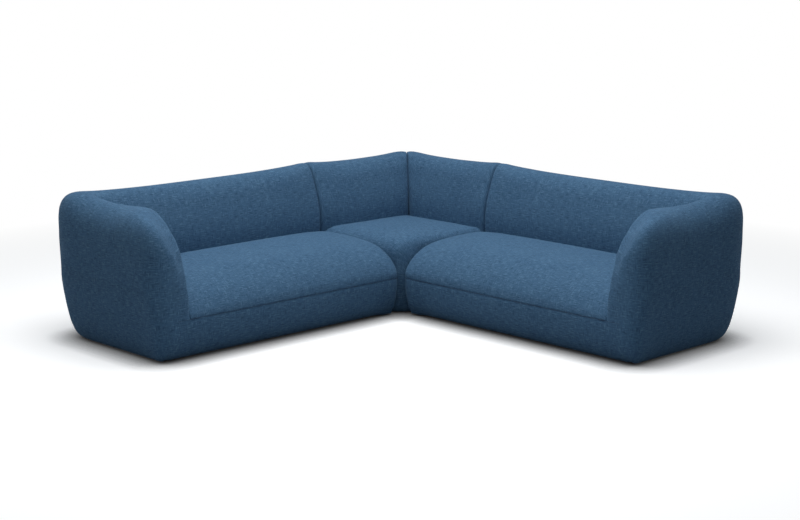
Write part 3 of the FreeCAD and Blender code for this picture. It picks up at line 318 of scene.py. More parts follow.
def lofted(name, rings, cap_steps=8):
    """A closed skin over a row of loops, ended in rounds of faces, with its cloth's lie as UVs in metres."""
    rings = np.asarray(rings, float)
    count, around = rings.shape[:2]
    points = [rings.reshape(-1, 3)]
    faces, uvs = [], []
    wrapped = np.concatenate([rings, rings[:, :1]], axis=1)
    along, across = run_lengths(wrapped, 0), run_lengths(wrapped, 1)
    for i in range(count - 1):
        for j in range(around):
            nxt = (j + 1) % around
            faces.append((i * around + j, (i + 1) * around + j, (i + 1) * around + nxt, i * around + nxt))
            quad = ((i, j), (i + 1, j), (i + 1, j + 1), (i, j + 1))
            uvs += [(along[place], across[place]) for place in quad]
    base = count * around
    for end, ring in ((0, rings[0]), (count - 1, rings[-1])):
        centre = ring.mean(axis=0)
        spread = ring.max(axis=0) - ring.min(axis=0)
        first, second = sorted(np.argsort(spread)[1:])
        previous = np.arange(around) + end * around
        rows = [ring]
        for step in range(1, cap_steps):
            rows.append(centre + (ring - centre) * (1 - step / cap_steps))
            points.append(rows[-1])
        points.append(centre[None, :])
        for step in range(1, cap_steps):
            current = base + np.arange(around)
            for j in range(around):
                nxt = (j + 1) % around
                face = (previous[j], previous[nxt], current[nxt], current[j])
                faces.append(face if end == 0 else face[::-1])
                corners = [rows[step - 1][j], rows[step - 1][nxt], rows[step][nxt], rows[step][j]]
                corners = corners if end == 0 else corners[::-1]
                uvs += [(corner[first], corner[second]) for corner in corners]
            base += around
            previous = current
        for j in range(around):
            nxt = (j + 1) % around
            face = (previous[j], previous[nxt], base)
            corners = [rows[-1][j], rows[-1][nxt], centre]
            faces.append(face if end == 0 else face[::-1])
            corners = corners if end == 0 else corners[::-1]
            uvs += [(corner[first], corner[second]) for corner in corners]
        base += 1
    mesh = bpy.data.meshes.new(name)
    faces = [tuple(int(v) for v in face) for face in faces]
    mesh.from_pydata(to_world(np.vstack(points)).tolist(), [], faces)
    layer = mesh.uv_layers.new(name="Cloth")
    layer.data.foreach_set("uv", np.array(uvs, np.float32).ravel())
    mesh.update()
    face_outwards(mesh)
    mesh.shade_smooth()
    return new_piece(name, mesh)


def new_piece(name, mesh):
    piece = bpy.data.objects.new(name, mesh)
    bpy.context.scene.collection.objects.link(piece)
    return piece


def face_outwards(mesh):
    bm = bmesh.new()
    bm.from_mesh(mesh)
    bmesh.ops.recalc_face_normals(bm, faces=bm.faces)
    bm.to_mesh(mesh)
    bm.free()


def vectors(items, name):
    """One vector of each point or face of a mesh, as rows."""
    values = np.empty(len(items) * 3)
    items.foreach_get(name, values)
    return values.reshape(-1, 3)


def coordinates(mesh):
    return vectors(mesh.vertices, "co")


def set_coordinates(mesh, co):
    mesh.vertices.foreach_set("co", np.asarray(co, np.float32).ravel())
    mesh.update()


def baked(piece):
    """Applies a piece's modifiers to its mesh."""
    graph = bpy.context.evaluated_depsgraph_get()
    result = piece.evaluated_get(graph)
    mesh = bpy.data.meshes.new_from_object(result, preserve_all_data_layers=True, depsgraph=graph)
    old = piece.data
    piece.modifiers.clear()
    piece.data = mesh
    mesh.name = piece.name
    if old.users == 0:
        bpy.data.meshes.remove(old)
    mesh.shade_smooth()
    return piece


def neighbour_pairs(mesh):
    edges = np.empty(len(mesh.edges) * 2, np.int64)
    mesh.edges.foreach_get("vertices", edges)
    return edges.reshape(-1, 2)


def averaged(mesh, values, rounds, steps=(0.5,)):
    """Values at a mesh's points, each drawn towards the mean of its neighbours."""
    edges = neighbour_pairs(mesh)
    degree = np.maximum(np.bincount(edges.ravel(), minlength=len(values)), 1)[:, None]
    for _ in range(rounds):
        for step in steps:
            total = np.zeros_like(values)
            for axis in range(values.shape[1]):
                total[:, axis] = np.bincount(edges[:, 0], values[edges[:, 1], axis], len(values))
                total[:, axis] += np.bincount(edges[:, 1], values[edges[:, 0], axis], len(values))
            values = values + step * (total / degree - values)
    return values


def evened(piece, rounds):
    """Smooths a mesh, and pushes it back out by as much as that shrinks it."""
    set_coordinates(piece.data, averaged(piece.data, coordinates(piece.data), rounds, (0.5, -0.52)))


def welded(name, parts, voxel):
    """Several closed skins made into one."""
    bm = bmesh.new()
    for part in parts:
        bm.from_mesh(part.data)
    mesh = bpy.data.meshes.new(name)
    bm.to_mesh(mesh)
    bm.free()
    for part in parts:
        old = part.data
        bpy.data.objects.remove(part)
        bpy.data.meshes.remove(old)
    piece = new_piece(name, mesh)
    remesh = piece.modifiers.new("Weld", "REMESH")
    remesh.mode = "VOXEL"
    remesh.voxel_size = voxel
    remesh.use_smooth_shade = True
    return baked(piece)


# Frames that the pressure acts for, and rounds that even out the creases it leaves
SWELL_FRAMES = 20
SWELL_ROUNDS = 14


def plumped(piece, held):
    """Swells a soft piece under a light pressure. held is how firmly each point is kept, from 0 to 1."""
    size = sizes()
    mesh = piece.data
    rest = coordinates(mesh)
    group = piece.vertex_groups.new(name="Held")
    levels = np.round(held, 1)
    for weight in np.unique(levels):
        members = np.nonzero(levels == weight)[0]
        group.add([int(v) for v in members], float(weight), "REPLACE")
    cloth = piece.modifiers.new("Plump", "CLOTH")
    cloth.settings.quality = 4
    cloth.settings.mass = 0.4
    cloth.settings.tension_stiffness = 30
    cloth.settings.compression_stiffness = 30
    cloth.settings.shear_stiffness = 10
    cloth.settings.bending_stiffness = 0.8
    cloth.settings.use_pressure = True
    cloth.settings.uniform_pressure_force = size.plump
    cloth.settings.vertex_group_mass = group.name
    cloth.settings.effector_weights.gravity = 0
    cloth.point_cache.frame_start = 1
    cloth.point_cache.frame_end = SWELL_FRAMES
    scene = bpy.context.scene
    for number in range(1, SWELL_FRAMES + 1):
        scene.frame_set(number)
    graph = bpy.context.evaluated_depsgraph_get()
    step = coordinates(piece.evaluated_get(graph).data) - rest
    length = np.linalg.norm(step, axis=1)
    cap = size.swell * (1 - held)
    limited = cap * np.tanh(length / np.maximum(cap, 1e-6)) / np.maximum(length, 1e-9)
    limited = np.where(length > 1e-9, limited, 0)
    piece.modifiers.clear()
    piece.vertex_groups.clear()
    evened_step = averaged(mesh, step * limited[:, None], SWELL_ROUNDS)
    set_coordinates(mesh, rest + evened_step * (1 - held[:, None]))
    scene.frame_set(1)


def finer(piece):
    smoother = piece.modifiers.new("Finer", "SUBSURF")
    smoother.levels = 1
    smoother.render_levels = 1
    smoother.uv_smooth = "PRESERVE_BOUNDARIES"
    baked(piece)


def mirrored_copy(piece, name):
    """The same piece for the other wing, turned over about the corner's diagonal."""
    mesh = piece.data.copy()
    mesh.name = name
    co = coordinates(mesh)
    s, n = wing_place(co)
    set_coordinates(mesh, np.column_stack([CORNER_X + n, CORNER_Y - s, co[:, 2]]))
    mesh.flip_normals()
    mesh.shade_smooth()
    return new_piece(name, mesh)


# ---------------------------------------------------------------- the shell: back, arm and front band

# The arm's top as (n, z) along its inner side, and along its outer side, which stays high nearly to the front
ARM_REAR = ((0.18, 0.764), (0.30, 0.752), (0.43, 0.741))
ARM_RIDGE = ARM_REAR + ((0.54, 0.737), (0.62, 0.736), (0.66, 0.734), (0.71, 0.722), (0.777, 0.680),
                        (0.853, 0.602), (0.886, 0.545), (0.918, 0.438), (0.931, 0.354), (0.9375, 0.285),
                        (0.940, 0.238))
ARM_SHOULDER = ARM_REAR + ((0.54, 0.738), (0.62, 0.738), (0.72, 0.736), (0.80, 0.729), (0.85, 0.715),
                           (0.885, 0.692), (0.91, 0.652), (0.926, 0.600), (0.936, 0.520), (0.940, 0.420))
NOSE_START = 0.60
NOSE_BLEND = (0.44, 0.70)
NOSE_RADIUS = 0.082
NOSE_FOOT = SEAM + 0.012
# Where the slope between shoulder and inner side starts across the arm, and how far it runs, as shares of it
SLOPE_START, SLOPE_RUN = 0.12, 0.83
FRONT_DRAW_IN = 0.09
FRONT_FULLNESS = 2.1


def front_inset(z):
    """How far the front stands back from its furthest line at a height."""
    share = np.clip((SEAM - np.asarray(z, float)) / (SEAM - SKIRT_BOTTOM), 0, 1)
    return FRONT_DRAW_IN * (1 - rounded(share, FRONT_FULLNESS))


def nose_heights(n):
    """The arm's bottom at a depth, and its top at its inner and at its outer side."""
    high = [float(np.interp(n, *zip(*line))) for line in (ARM_RIDGE, ARM_SHOULDER)]
    left = min(1.0, max(0.0, 1 - (DEPTH - n) / FRONT_DRAW_IN))
    return (NOSE_FOOT - (NOSE_FOOT - SKIRT_BOTTOM) * rounded(left, FRONT_FULLNESS), *high)


def nose_ring(loop, n, inset):
    """The arm's section at a depth. Its top slopes from the outer shoulder down to the inner side."""
    low, inner_top, outer_top = nose_heights(n)
    inner_share = np.clip((loop[:, 0] / sizes().back_thickness - SLOPE_START) / SLOPE_RUN, 0, 1)
    tops = blended(outer_top, inner_top, smooth_step(inner_share))
    ring = wall_ring(loop, 1.0, low)
    ring[:, 1] = low + (ring[:, 1] - low) * (tops - low) / (1.0 - low)
    return arm_ring(ring, n, inset)


def back_stations(run):
    """Distances along a back from its rolled end at a joint to where its corner begins."""
    size = sizes()
    roll = size.end_roll
    near = roll * (1 - np.cos(np.linspace(0, math.pi / 2, 6)))
    even = np.linspace(roll, run, int((run - roll) / (size.grain * 1.6)))[1:]
    return np.concatenate([near, even])


def back_rings(start, direction, corner_s, width, mitre_roll=0.0, corner_loop=None):
    """The loops of a back from a joint to the mitre of a corner."""
    size = sizes()
    loop = wall_section()
    corner_loop = loop if corner_loop is None else corner_loop
    mitre = math.atan2(size.back_thickness, abs(width))
    run = abs(corner_frame(corner_s, width)[0] - start)
    length = run + abs(width) / 2
    rings = []
    for along in back_stations(run):
        top = size.back_height + ridge_rise(along / length)
        ring = wall_ring(loop, top, draw_in=quarter_roll(along, size.end_roll))
        rings.append(straight_ring(ring, start + direction * along))
    for turn in 1 - (1 - np.linspace(0, 1, CORNER_TURNS)[1:]) ** 1.2:
        angle = math.pi / 2 + (mitre - math.pi / 2) * turn
        top = size.back_height + ridge_rise((run + turn * abs(width) / 2) / length)
        draw_in = mitre_roll * max(0.0, (turn - 0.6) / 0.4) ** 3
        ring = wall_ring(blended(loop, corner_loop, eased(turn, 0, 1)), top, draw_in=draw_in)
        rings.append(corner_ring(ring, angle, corner_s, width, True))
    return rings


def wing_wall():
    """Back and arm of a wing in one skin, from the joint to the tip of the arm's nose."""
    size = sizes()
    loop = wall_section()
    corner_loop = wall_section(outer=CORNER_OUTER)
    nose_loop = wall_section(NOSE_OUTER, NOSE_INNER)
    rings = back_rings(SIDE_START, 1, ARM_PLANE, ARM_WIDTH, corner_loop=corner_loop)
    mitre = math.atan2(size.back_thickness, ARM_WIDTH)
    level_start = corner_frame(ARM_PLANE, ARM_WIDTH)[1]
    mitre_top = size.back_height + size.ear_rise
    for turn in np.linspace(0, 1, CORNER_TURNS)[1:]:
        top = blended(mitre_top, nose_heights(level_start)[1], 1 - (1 - turn) ** 2)
        ring = wall_ring(blended(corner_loop, loop, eased(turn, 0, 1)), top)
        rings.append(corner_ring(ring, mitre * (1 - turn), ARM_PLANE, ARM_WIDTH, False))
    turns = np.linspace(0, math.pi / 2, 60)[1:]
    nose = NOSE_START + (DEPTH - NOSE_START) * np.sin(turns) ** 1.15
    for n in np.concatenate([np.linspace(level_start, NOSE_START, 14)[1:], nose]):
        into_corner = max(0.0, n - (DEPTH - NOSE_RADIUS))
        inset = NOSE_RADIUS - math.sqrt(max(0.0, NOSE_RADIUS ** 2 - into_corner ** 2))
        rings.append(nose_ring(blended(loop, nose_loop, eased(n, *NOSE_BLEND)), n, inset))
    return lofted("Wing_Wall", rings, cap_steps=4)


# A seat's rounded corner between its joint end and its front, from above
END_CORNER_S = 0.09
END_CORNER_N = 0.07
END_FULLNESS = 3.5
# Where a unit's band begins under its back, and where it ends inside the arm's nose
BAND_START = 0.30
BAND_END = WING_LENGTH - 0.11
BAND_TOP = 0.008
BAND_THICKNESS = 0.05
# How much less the band draws in along the joint than at the front
SIDE_FLATNESS = 0.55


def end_inset(along):
    """How far that corner has drawn the front in, at a distance from the joint."""
    share = min(1.0, max(0.0, 1 - along / END_CORNER_S))
    return END_CORNER_N * (1 - rounded(share, END_FULLNESS))


def plan_path():
    """The front's outline from above, from the joint's side round its corner and along to the arm."""
    points = [(SIDE_START, n) for n in np.linspace(BAND_START, DEPTH - END_CORNER_N, 40)]
    for angle in np.linspace(0, math.pi / 2, 24)[1:]:
        across, ahead = (abs(f(angle)) ** (2 / END_FULLNESS) for f in (math.cos, math.sin))
        points.append((SIDE_START + END_CORNER_S * (1 - across), DEPTH - END_CORNER_N * (1 - ahead)))
    points += [(s, DEPTH) for s in np.linspace(SIDE_START + END_CORNER_S, BAND_END, 90)[1:]]
    return np.array(points)


def outward_of(path):
    along = np.gradient(path, axis=0)
    along /= np.linalg.norm(along, axis=1)[:, None]
    return np.column_stack([-along[:, 1], along[:, 0]])


def band_heights(count):
    """Heights from the hem to the seam, closest at the hem."""
    return SKIRT_BOTTOM + (SEAM - SKIRT_BOTTOM) * (1 - np.cos(np.linspace(0, math.pi / 2, count)))


def hung(point, out, section):
    """A section of (distance inwards, z), placed at a point of a path."""
    return [(point[0] - out[0] * inset, point[1] - out[1] * inset, z) for inset, z in section]


def front_band():
    """The upholstered band under the seat, round its front and the joint's side."""
    path = plan_path()
    outer = [(float(front_inset(z)), z) for z in band_heights(18)]
    top = [(0.0004, SEAM + 0.002), (0.004, SEAM + BAND_TOP), (BAND_THICKNESS, SEAM + BAND_TOP)]
    inside = FRONT_DRAW_IN + BAND_THICKNESS * 0.4
    section = np.array(outer + top + [(inside, SEAM - 0.03), (inside, SKIRT_BOTTOM)])
    rings = []
    for point, out in zip(path, outward_of(path)):
        on_side = 1.0 if point[0] < SIDE_START + 1e-6 else max(0.0, -out[0])
        shrunk = section.copy()
        shrunk[:len(outer), 0] *= 1 - SIDE_FLATNESS * on_side
        rings.append(hung(point, out, shrunk))
    return lofted("Front_Band", rings, cap_steps=3)


def nearest_on(line, points):
    """For each point, its nearest place on a line: distance, and how far along the line it lies."""
    starts, ends = line[:-1], line[1:]
    run = ends - starts
    length = np.linalg.norm(run, axis=1)
    before = np.concatenate([[0], np.cumsum(length)[:-1]])
    best = np.full(len(points), 1e9)
    place = np.zeros(len(points))
    for start, vector, size, offset in zip(starts, run, length, before):
        share = np.clip(((points - start) @ vector) / size ** 2, 0, 1)
        gap = np.linalg.norm(points - start - share[:, None] * vector, axis=1)
        closer = gap < best
        best[closer] = gap[closer]
        place[closer] = (offset + share * size)[closer]
    return best, place


# Radius of the line round a wing's outer corner that the weave follows
LIE_CORNER = 0.2


def lie_path():
    """The line that the weave follows from above, round the outside of a wing."""
    path = [(SIDE_START, 0.0), (WING_LENGTH - LIE_CORNER, 0.0)]
    for angle in np.linspace(0, math.pi / 2, 12)[1:]:
        path.append((WING_LENGTH - LIE_CORNER + LIE_CORNER * math.sin(angle),
                     LIE_CORNER - LIE_CORNER * math.cos(angle)))
    path.append((WING_LENGTH, DEPTH - NOSE_RADIUS))
    for angle in np.linspace(0, math.pi / 2, 8)[1:]:
        path.append((WING_LENGTH - NOSE_RADIUS * (1 - math.cos(angle)),
                     DEPTH - NOSE_RADIUS * (1 - math.sin(angle))))
    return np.array(path + [(SIDE_START + 0.1, DEPTH), (SIDE_START, DEPTH - 0.08), (SIDE_START, 0.3)])


def cloth_lie(piece):
    """Lays the cloth's weave over the shell: level along the wing, upright across its section."""
    mesh = piece.data
    co = coordinates(mesh)
    (s, n), z = wing_place(co), co[:, 2]
    depth, along = nearest_on(lie_path(), np.column_stack([s, n]))
    section = np.vstack([smooth_line(metres(OUTER_WALL), 60), smooth_line(metres(INNER_WALL), 50)[1:]])
    into_arm = (WING_LENGTH - s) * sizes().back_thickness / ARM_WIDTH
    across_outside, across_back, across_arm = (
        nearest_on(section, np.column_stack([into, z]))[1] for into in (depth, n, into_arm))
    centre_s, centre_n = wing_place(vectors(mesh.polygons, "center"))
    normal = vectors(mesh.polygons, "normal")
    face_n, face_s = -normal[:, 1], normal[:, 0]
    on_back = (face_n > 0.3) & (centre_n < 0.33) & (face_n > np.abs(face_s))
    on_arm = (face_s < -0.3) & (centre_s > ARM_PLANE - 0.03) & (centre_n < DEPTH - 0.03)
    loops = np.empty(len(mesh.loops), np.int64)
    mesh.loops.foreach_get("vertex_index", loops)
    totals = np.empty(len(mesh.polygons), np.int64)
    mesh.polygons.foreach_get("loop_total", totals)
    owner = np.repeat(np.arange(len(totals)), totals)
    back, arm = on_back[owner], on_arm[owner]
    u = np.where(back, s[loops], np.where(arm, 4 + n[loops], along[loops]))
    v = np.where(back, across_back[loops], np.where(arm, across_arm[loops], across_outside[loops]))
    layer = mesh.uv_layers.get("Cloth") or mesh.uv_layers.new(name="Cloth")
    layer.data.foreach_set("uv", np.column_stack([u, v]).astype(np.float32).ravel())


# ---------------------------------------------------------------- seats

SEAT_BACK = 0.292
SEAT_FRONT = 0.9405
CORNER_SEAT_BACK = 0.262
SEAT_ROLL = 0.115
SEAT_INSET = 0.095
END_DROP_ROLL = 0.04
END_DROP = 0.012
# How far a side seat dips where it meets the arm, and over what run
TUCK_DROP, TUCK_RUN = 0.010, 0.05
JOINT_GAP = 0.0005
# A side seat's top as (n, height over its ends' height), from the groove at the back to the front's roll
SEAT_TOP = ((SEAT_BACK, -0.018), (0.322, -0.003), (0.36, 0.004), (0.45, 0.006), (0.55, 0.003), (0.65, -0.005),
            (0.746, -0.018), (0.827, -0.042), (0.887, -0.079), (0.922, -0.118), (0.9385, -0.148))


def lip_face(edge, rise):
    """The last points of a seat's front: down its face and round the lip at the seam."""
    lip = sizes().seam_lip
    return [(edge, SEAM + rise), (edge, SEAM + lip), (edge - lip * 0.35, SEAM + lip * 0.25),
            (edge - lip * 1.5, SEAM + 0.0005)]


def side_seat_section(along, length):
    """A side seat's section as (n, z) at a distance from its joint end."""
    size = sizes()
    share = along / length
    crown = size.seat_crown * (1 - abs(2 * share - 1) ** 2.6)
    tuck = max(0.0, 1 - (length - along) / TUCK_RUN) ** 2
    drop = END_DROP * float(quarter_roll(along, END_DROP_ROLL)) / END_DROP_ROLL + TUCK_DROP * tuck
    profile = []
    for n, rise in SEAT_TOP:
        z = size.seat_height + rise
        lift = crown * math.sin(math.pi * min(1.0, max(0.0, (0.99 - n) / 0.72)) ** 0.8) ** 0.7
        profile.append((n, z + lift - drop * min(1.0, (z - SEAM) / 0.09) ** 0.8))
    deep = SEAT_FRONT - end_inset(along) - SEAT_BACK
    return [(SEAT_BACK + (n - SEAT_BACK) * deep / (SEAT_FRONT - SEAT_BACK), z)
            for n, z in profile + lip_face(SEAT_FRONT, 0.02)]


def seat_loop(front, step):
    """Closes a seat's front and top into a loop with its lip, underside and rear."""
    line = smooth_line(front[:-3], max(8, int(0.86 / step)))
    lip = np.array(front[-4:], float)
    below = (front[0][0], SEAM + 0.010)
    bottom = even_line(np.array([front[-1], below]), max(4, int(0.62 / (step * 2))))
    rear = even_line(np.array([below, tuple(front[0])]), max(4, int(0.15 / step)))
    return closed_loop([line, lip, bottom, rear])


def side_seat():
    """A wing's seat, with a rounded end at the joint."""
    step = sizes().grain
    length = ARM_PLANE + 0.006 - SIDE_START
    near = END_CORNER_S * (1 - np.cos(np.linspace(0, math.pi / 2, 18)) ** (2 / END_FULLNESS))
    even = np.linspace(END_CORNER_S, length, int((length - END_CORNER_S) / step))[1:]
    rings = []
    for along in np.concatenate([near, even]):
        loop = seat_loop(side_seat_section(along, length), step)
        rings.append(np.column_stack([np.full(len(loop), SIDE_START + JOINT_GAP + along), loop]))
    return lofted("Right_Cushion", rings)


def corner_seat():
    """The corner's seat: both of its free sides roll down towards the joints."""
    size = sizes()
    step = size.grain
    front = CORNER_END - JOINT_GAP
    back = CORNER_SEAT_BACK
    length = front - back
    near = SEAT_ROLL * (1 - np.cos(np.linspace(0, math.pi / 2, 14)))
    even = np.linspace(SEAT_ROLL, length, int((length - SEAT_ROLL) / step))[1:]

    def swelling(gap):
        return math.sin(math.pi * min(1, 0.15 + 0.85 * gap / length)) ** 0.8

    rings = []
    for along in np.concatenate([near, even]):
        edge = front - SEAT_INSET * float(quarter_roll(along, SEAT_ROLL)) / SEAT_ROLL
        near_drop = float(quarter_roll(along, END_DROP_ROLL)) / END_DROP_ROLL
        profile = []
        for n in np.linspace(back, edge, 28):
            drop = float(quarter_roll(edge - n, 0.085)) / 0.085
            crown = size.seat_crown * swelling(along) * swelling(edge - n)
            z = size.seat_height + 0.004 + crown - 0.05 * drop - 0.045 * near_drop * (1 - 0.3 * drop)
            profile.append((n, z))
        loop = seat_loop(profile + lip_face(edge, 0.03), step)
        rings.append(np.column_stack([np.full(len(loop), front - along), loop]))
    return lofted("Corner_Cushion", rings)


# The corner band: how far its front corner draws in at the hem, and how thick it is
CORNER_DRAW_IN = 0.028
CORNER_BAND_THICKNESS = 0.017


def corner_band():
    """The corner unit's band under its seat, along both joints and round the front corner."""
    reach = SEAT_INSET + 0.01
    end = CORNER_END - JOINT_GAP
    points = [(end, n) for n in np.linspace(BAND_START, end - reach, 30)]
    for angle in np.linspace(0, math.pi / 2, 20)[1:-1]:
        points.append((end - reach * (1 - math.cos(angle)), end - reach * (1 - math.sin(angle))))
    points += [(s, end) for s in np.linspace(end - reach, BAND_START, 30)]
    path = np.array(points)
    heights = band_heights(14)
    levels = np.clip((SEAM - heights) / (SEAM - SKIRT_BOTTOM), 0, 1)
    corner_share = np.clip(1 - np.abs(np.linspace(-1, 1, len(path))) * 2.2, 0, 1)
    rings = []
    for point, out, share in zip(path, -outward_of(path), corner_share):
        draw, thick = CORNER_DRAW_IN * share, CORNER_BAND_THICKNESS
        outer = [(draw * (1 - math.sqrt(1 - level ** 2)) + JOINT_GAP, z) for level, z in zip(levels, heights)]
        rest = [(0.001, SEAM + 0.002), (0.004, SEAM + 0.007), (thick, SEAM + 0.007),
                (thick + draw, SEAM - 0.03), (thick + draw, SKIRT_BOTTOM)]
        rings.append(hung(point, out, outer + rest))
    return lofted("Corner_Band", rings, cap_steps=3)


def corner_back():
    """Half of the corner's back, from the right joint to the mitre."""
    thick = sizes().back_thickness
    rings = back_rings(CORNER_END, -1, thick, -thick, mitre_roll=0.014)
    return lofted("Corner_Right_Back", rings)


# The crease between the corner's two backs lies a little to the right of the diagonal
CREASE_SHIFT = (0.020, 0.024)
CREASE_REACH = 0.28
JOINT_REACH = 0.25


def crease_shifted(piece, side):
    """Moves the front of a corner back so that its crease lies where it does on the sofa."""
    co = coordinates(piece.data)
    s, n = wing_place(co)
    from_joint, depth = (CORNER_END - s, n) if side == RIGHT else (CORNER_END - n, s)
    thick = sizes().back_thickness
    frontness = np.clip(depth / thick, 0, 1.2) ** 1.5
    taper = smooth_step(np.clip(from_joint / JOINT_REACH, 0, 1))
    crease = CORNER_END - thick
    near = smooth_step(np.clip((from_joint - crease + CREASE_REACH) / CREASE_REACH, 0, 1))
    along, into = (0, 1) if side == RIGHT else (1, 0)
    co[:, into] += CREASE_SHIFT[into] * frontness * taper
    co[:, along] += CREASE_SHIFT[along] * frontness * near
    set_coordinates(piece.data, co)


# ---------------------------------------------------------------- materials

def new_material(name):
    material = bpy.data.materials.new(name)
    material.use_nodes = True
    material.node_tree.nodes.clear()
    return material


class Tree:
    """Short names for building a node tree."""

    def __init__(self, tree):
        self.tree = tree

    def node(self, kind, inputs=None, **settings):
        made = self.tree.nodes.new(kind)
        for key, value in settings.items():
            setattr(made, key, value)
        for key, value in (inputs or {}).items():
            self.feed(made.inputs[key], value)
        return made

    def feed(self, socket, value):
        if isinstance(value, bpy.types.NodeSocket):
            self.tree.links.new(value, socket)
        else:
            socket.default_value = value

    def calc(self, operation, *values):
        made = self.node("ShaderNodeMath", operation=operation)
        for index, value in enumerate(values):
            self.feed(made.inputs[index], value)
        return made.outputs[0]

    def times(self, first, second):
        return self.calc("MULTIPLY", first, second)

    def mix(self, share, first, second):
        return self.node("ShaderNodeMix", {0: share, 6: first, 7: second}, data_type="RGBA").outputs[2]

    def noise(self, vector, scale, detail=2.0, roughness=0.5):
        return self.node("ShaderNodeTexNoise", {"Vector": vector, "Scale": scale, "Detail": detail,
                                                "Roughness": roughness}).outputs[0]

    def streaks(self, x, x_scale, y, y_scale, depth=0.0, detail=2.0):
        """Noise with its own scale along each of two values."""
        place = {0: self.times(x, x_scale), 1: self.times(y, y_scale), 2: depth}
        return self.noise(self.node("ShaderNodeCombineXYZ", place).outputs[0], 1.0, detail)

    def ranged(self, value, low, high, to_low=0.0, to_high=1.0):
        made = self.node("ShaderNodeMapRange", clamp=True)
        for index, item in enumerate((value, low, high, to_low, to_high)):
            self.feed(made.inputs[index], item)
        return made.outputs[0]

    def seen(self):
        """1 for what the camera sees, also in metal or through glass, and 0 for light sent to the sofa."""
        path = self.node("ShaderNodeLightPath").outputs
        further = self.calc("MAXIMUM", path["Is Glossy Ray"], path["Is Transmission Ray"])
        return self.calc("MAXIMUM", path["Is Camera Ray"], further)


def group_tree(name, inputs, outputs):
    tree = bpy.data.node_groups.new(name, "ShaderNodeTree")
    for label, kind, default in inputs:
        socket = tree.interface.new_socket(name=label, in_out="INPUT", socket_type=kind)
        if default is not None:
            socket.default_value = default
    for label, kind in outputs:
        tree.interface.new_socket(name=label, in_out="OUTPUT", socket_type=kind)
    build = Tree(tree)
    return build, build.node("NodeGroupInput").outputs, build.node("NodeGroupOutput").inputs


def slub_weave_group():
    """A plain weave of uneven yarns: thick and thin, pale and dark along their length, with painted shade in
    the low places between the yarns.
    """
    build, given, out = group_tree(
        "Slub weave",
        (("Vector", "NodeSocketVector", None), ("Colour", "NodeSocketColor", (0.1, 0.2, 0.3, 1)),
         ("Pale", "NodeSocketColor", (0.2, 0.3, 0.4, 1)), ("Dark", "NodeSocketColor", (0.02, 0.05, 0.1, 1)),
         ("Yarn", "NodeSocketFloat", 0.0022), ("Slubs", "NodeSocketFloat", 0.5)),
        (("Colour", "NodeSocketColor"), ("Roughness", "NodeSocketFloat"), ("Height", "NodeSocketFloat")))
    calc, times, ranged = build.calc, build.times, build.ranged
    slubs = given["Slubs"]
    parts = build.node("ShaderNodeSeparateXYZ", {0: given["Vector"]}).outputs
    u, v = parts[0], parts[1]
    # The yarns wander a little. Each has a round back within its own cell
    wander = times(calc("SUBTRACT", build.noise(given["Vector"], 22.0, 3.0), 0.5), 0.006)
    cells, backs = [], []
    for run in (u, v):
        across = calc("DIVIDE", calc("ADD", run, wander), given["Yarn"])
        cells.append(calc("FLOOR", across))
        backs.append(calc("COSINE", times(calc("SUBTRACT", calc("FRACT", across), 0.5), math.pi)))
    # From one cell to the next, the other yarn lies on top
    parity = calc("PINGPONG", calc("ADD", *cells), 1.0)
    sign = calc("MULTIPLY_ADD", parity, 2.0, -1.0)
    warp = times(backs[0], calc("MULTIPLY_ADD", times(backs[1], sign), 0.5, 0.5))
    weft = times(backs[1], calc("MULTIPLY_ADD", times(backs[0], sign), -0.5, 0.5))
    warp_tone = build.streaks(cells[0], 0.731, v, 26.0)
    weft_tone = build.streaks(u, 26.0, cells[1], 0.731, 7.0)
    on_top = calc("GREATER_THAN", warp, weft)
    tone = build.node("ShaderNodeMix", {0: on_top, 2: weft_tone, 3: warp_tone}, data_type="FLOAT").outputs[0]
    height = calc("MAXIMUM", warp, weft)
    # Slubs wide enough to be seen from across a room, level and upright
    level = build.streaks(u, 30.0, v, 200.0, 0.0, 1.5)
    upright = build.streaks(u, 200.0, v, 30.0, 5.0, 1.5)
    fleck = calc("MAXIMUM", ranged(level, 0.56, 0.70), ranged(upright, 0.59, 0.73))
    gap = calc("MAXIMUM", ranged(level, 0.43, 0.29), ranged(upright, 0.41, 0.27))
    cloudy = build.noise(given["Vector"], 7.0, 4.0, 0.6)
    pale = calc("ADD", times(fleck, slubs), ranged(tone, 0.52, 0.82, 0.0, 0.55))
    dark = calc("ADD", times(gap, times(slubs, 0.8)), ranged(tone, 0.45, 0.2, 0.0, 0.6))
    colour = build.mix(pale, given["Colour"], given["Pale"])
    colour = build.mix(dark, colour, given["Dark"])
    # Painted shade: where the weave lies low between the yarns, the colour darkens towards the dark yarn's
    # colour
    colour = build.mix(ranged(height, 0.62, 0.1, 0.0, 0.75), colour, given["Dark"])
    colour = build.mix(ranged(cloudy, 0.35, 0.7, 0.0, 0.10), colour, given["Pale"])
    build.feed(out["Colour"], colour)
    build.feed(out["Roughness"], ranged(tone, 0.2, 0.8, 0.93, 0.8))
    build.feed(out["Height"], calc("ADD", height, times(fleck, 0.35)))
    return build.tree


YARN = 0.0021
SLUBS = 0.8


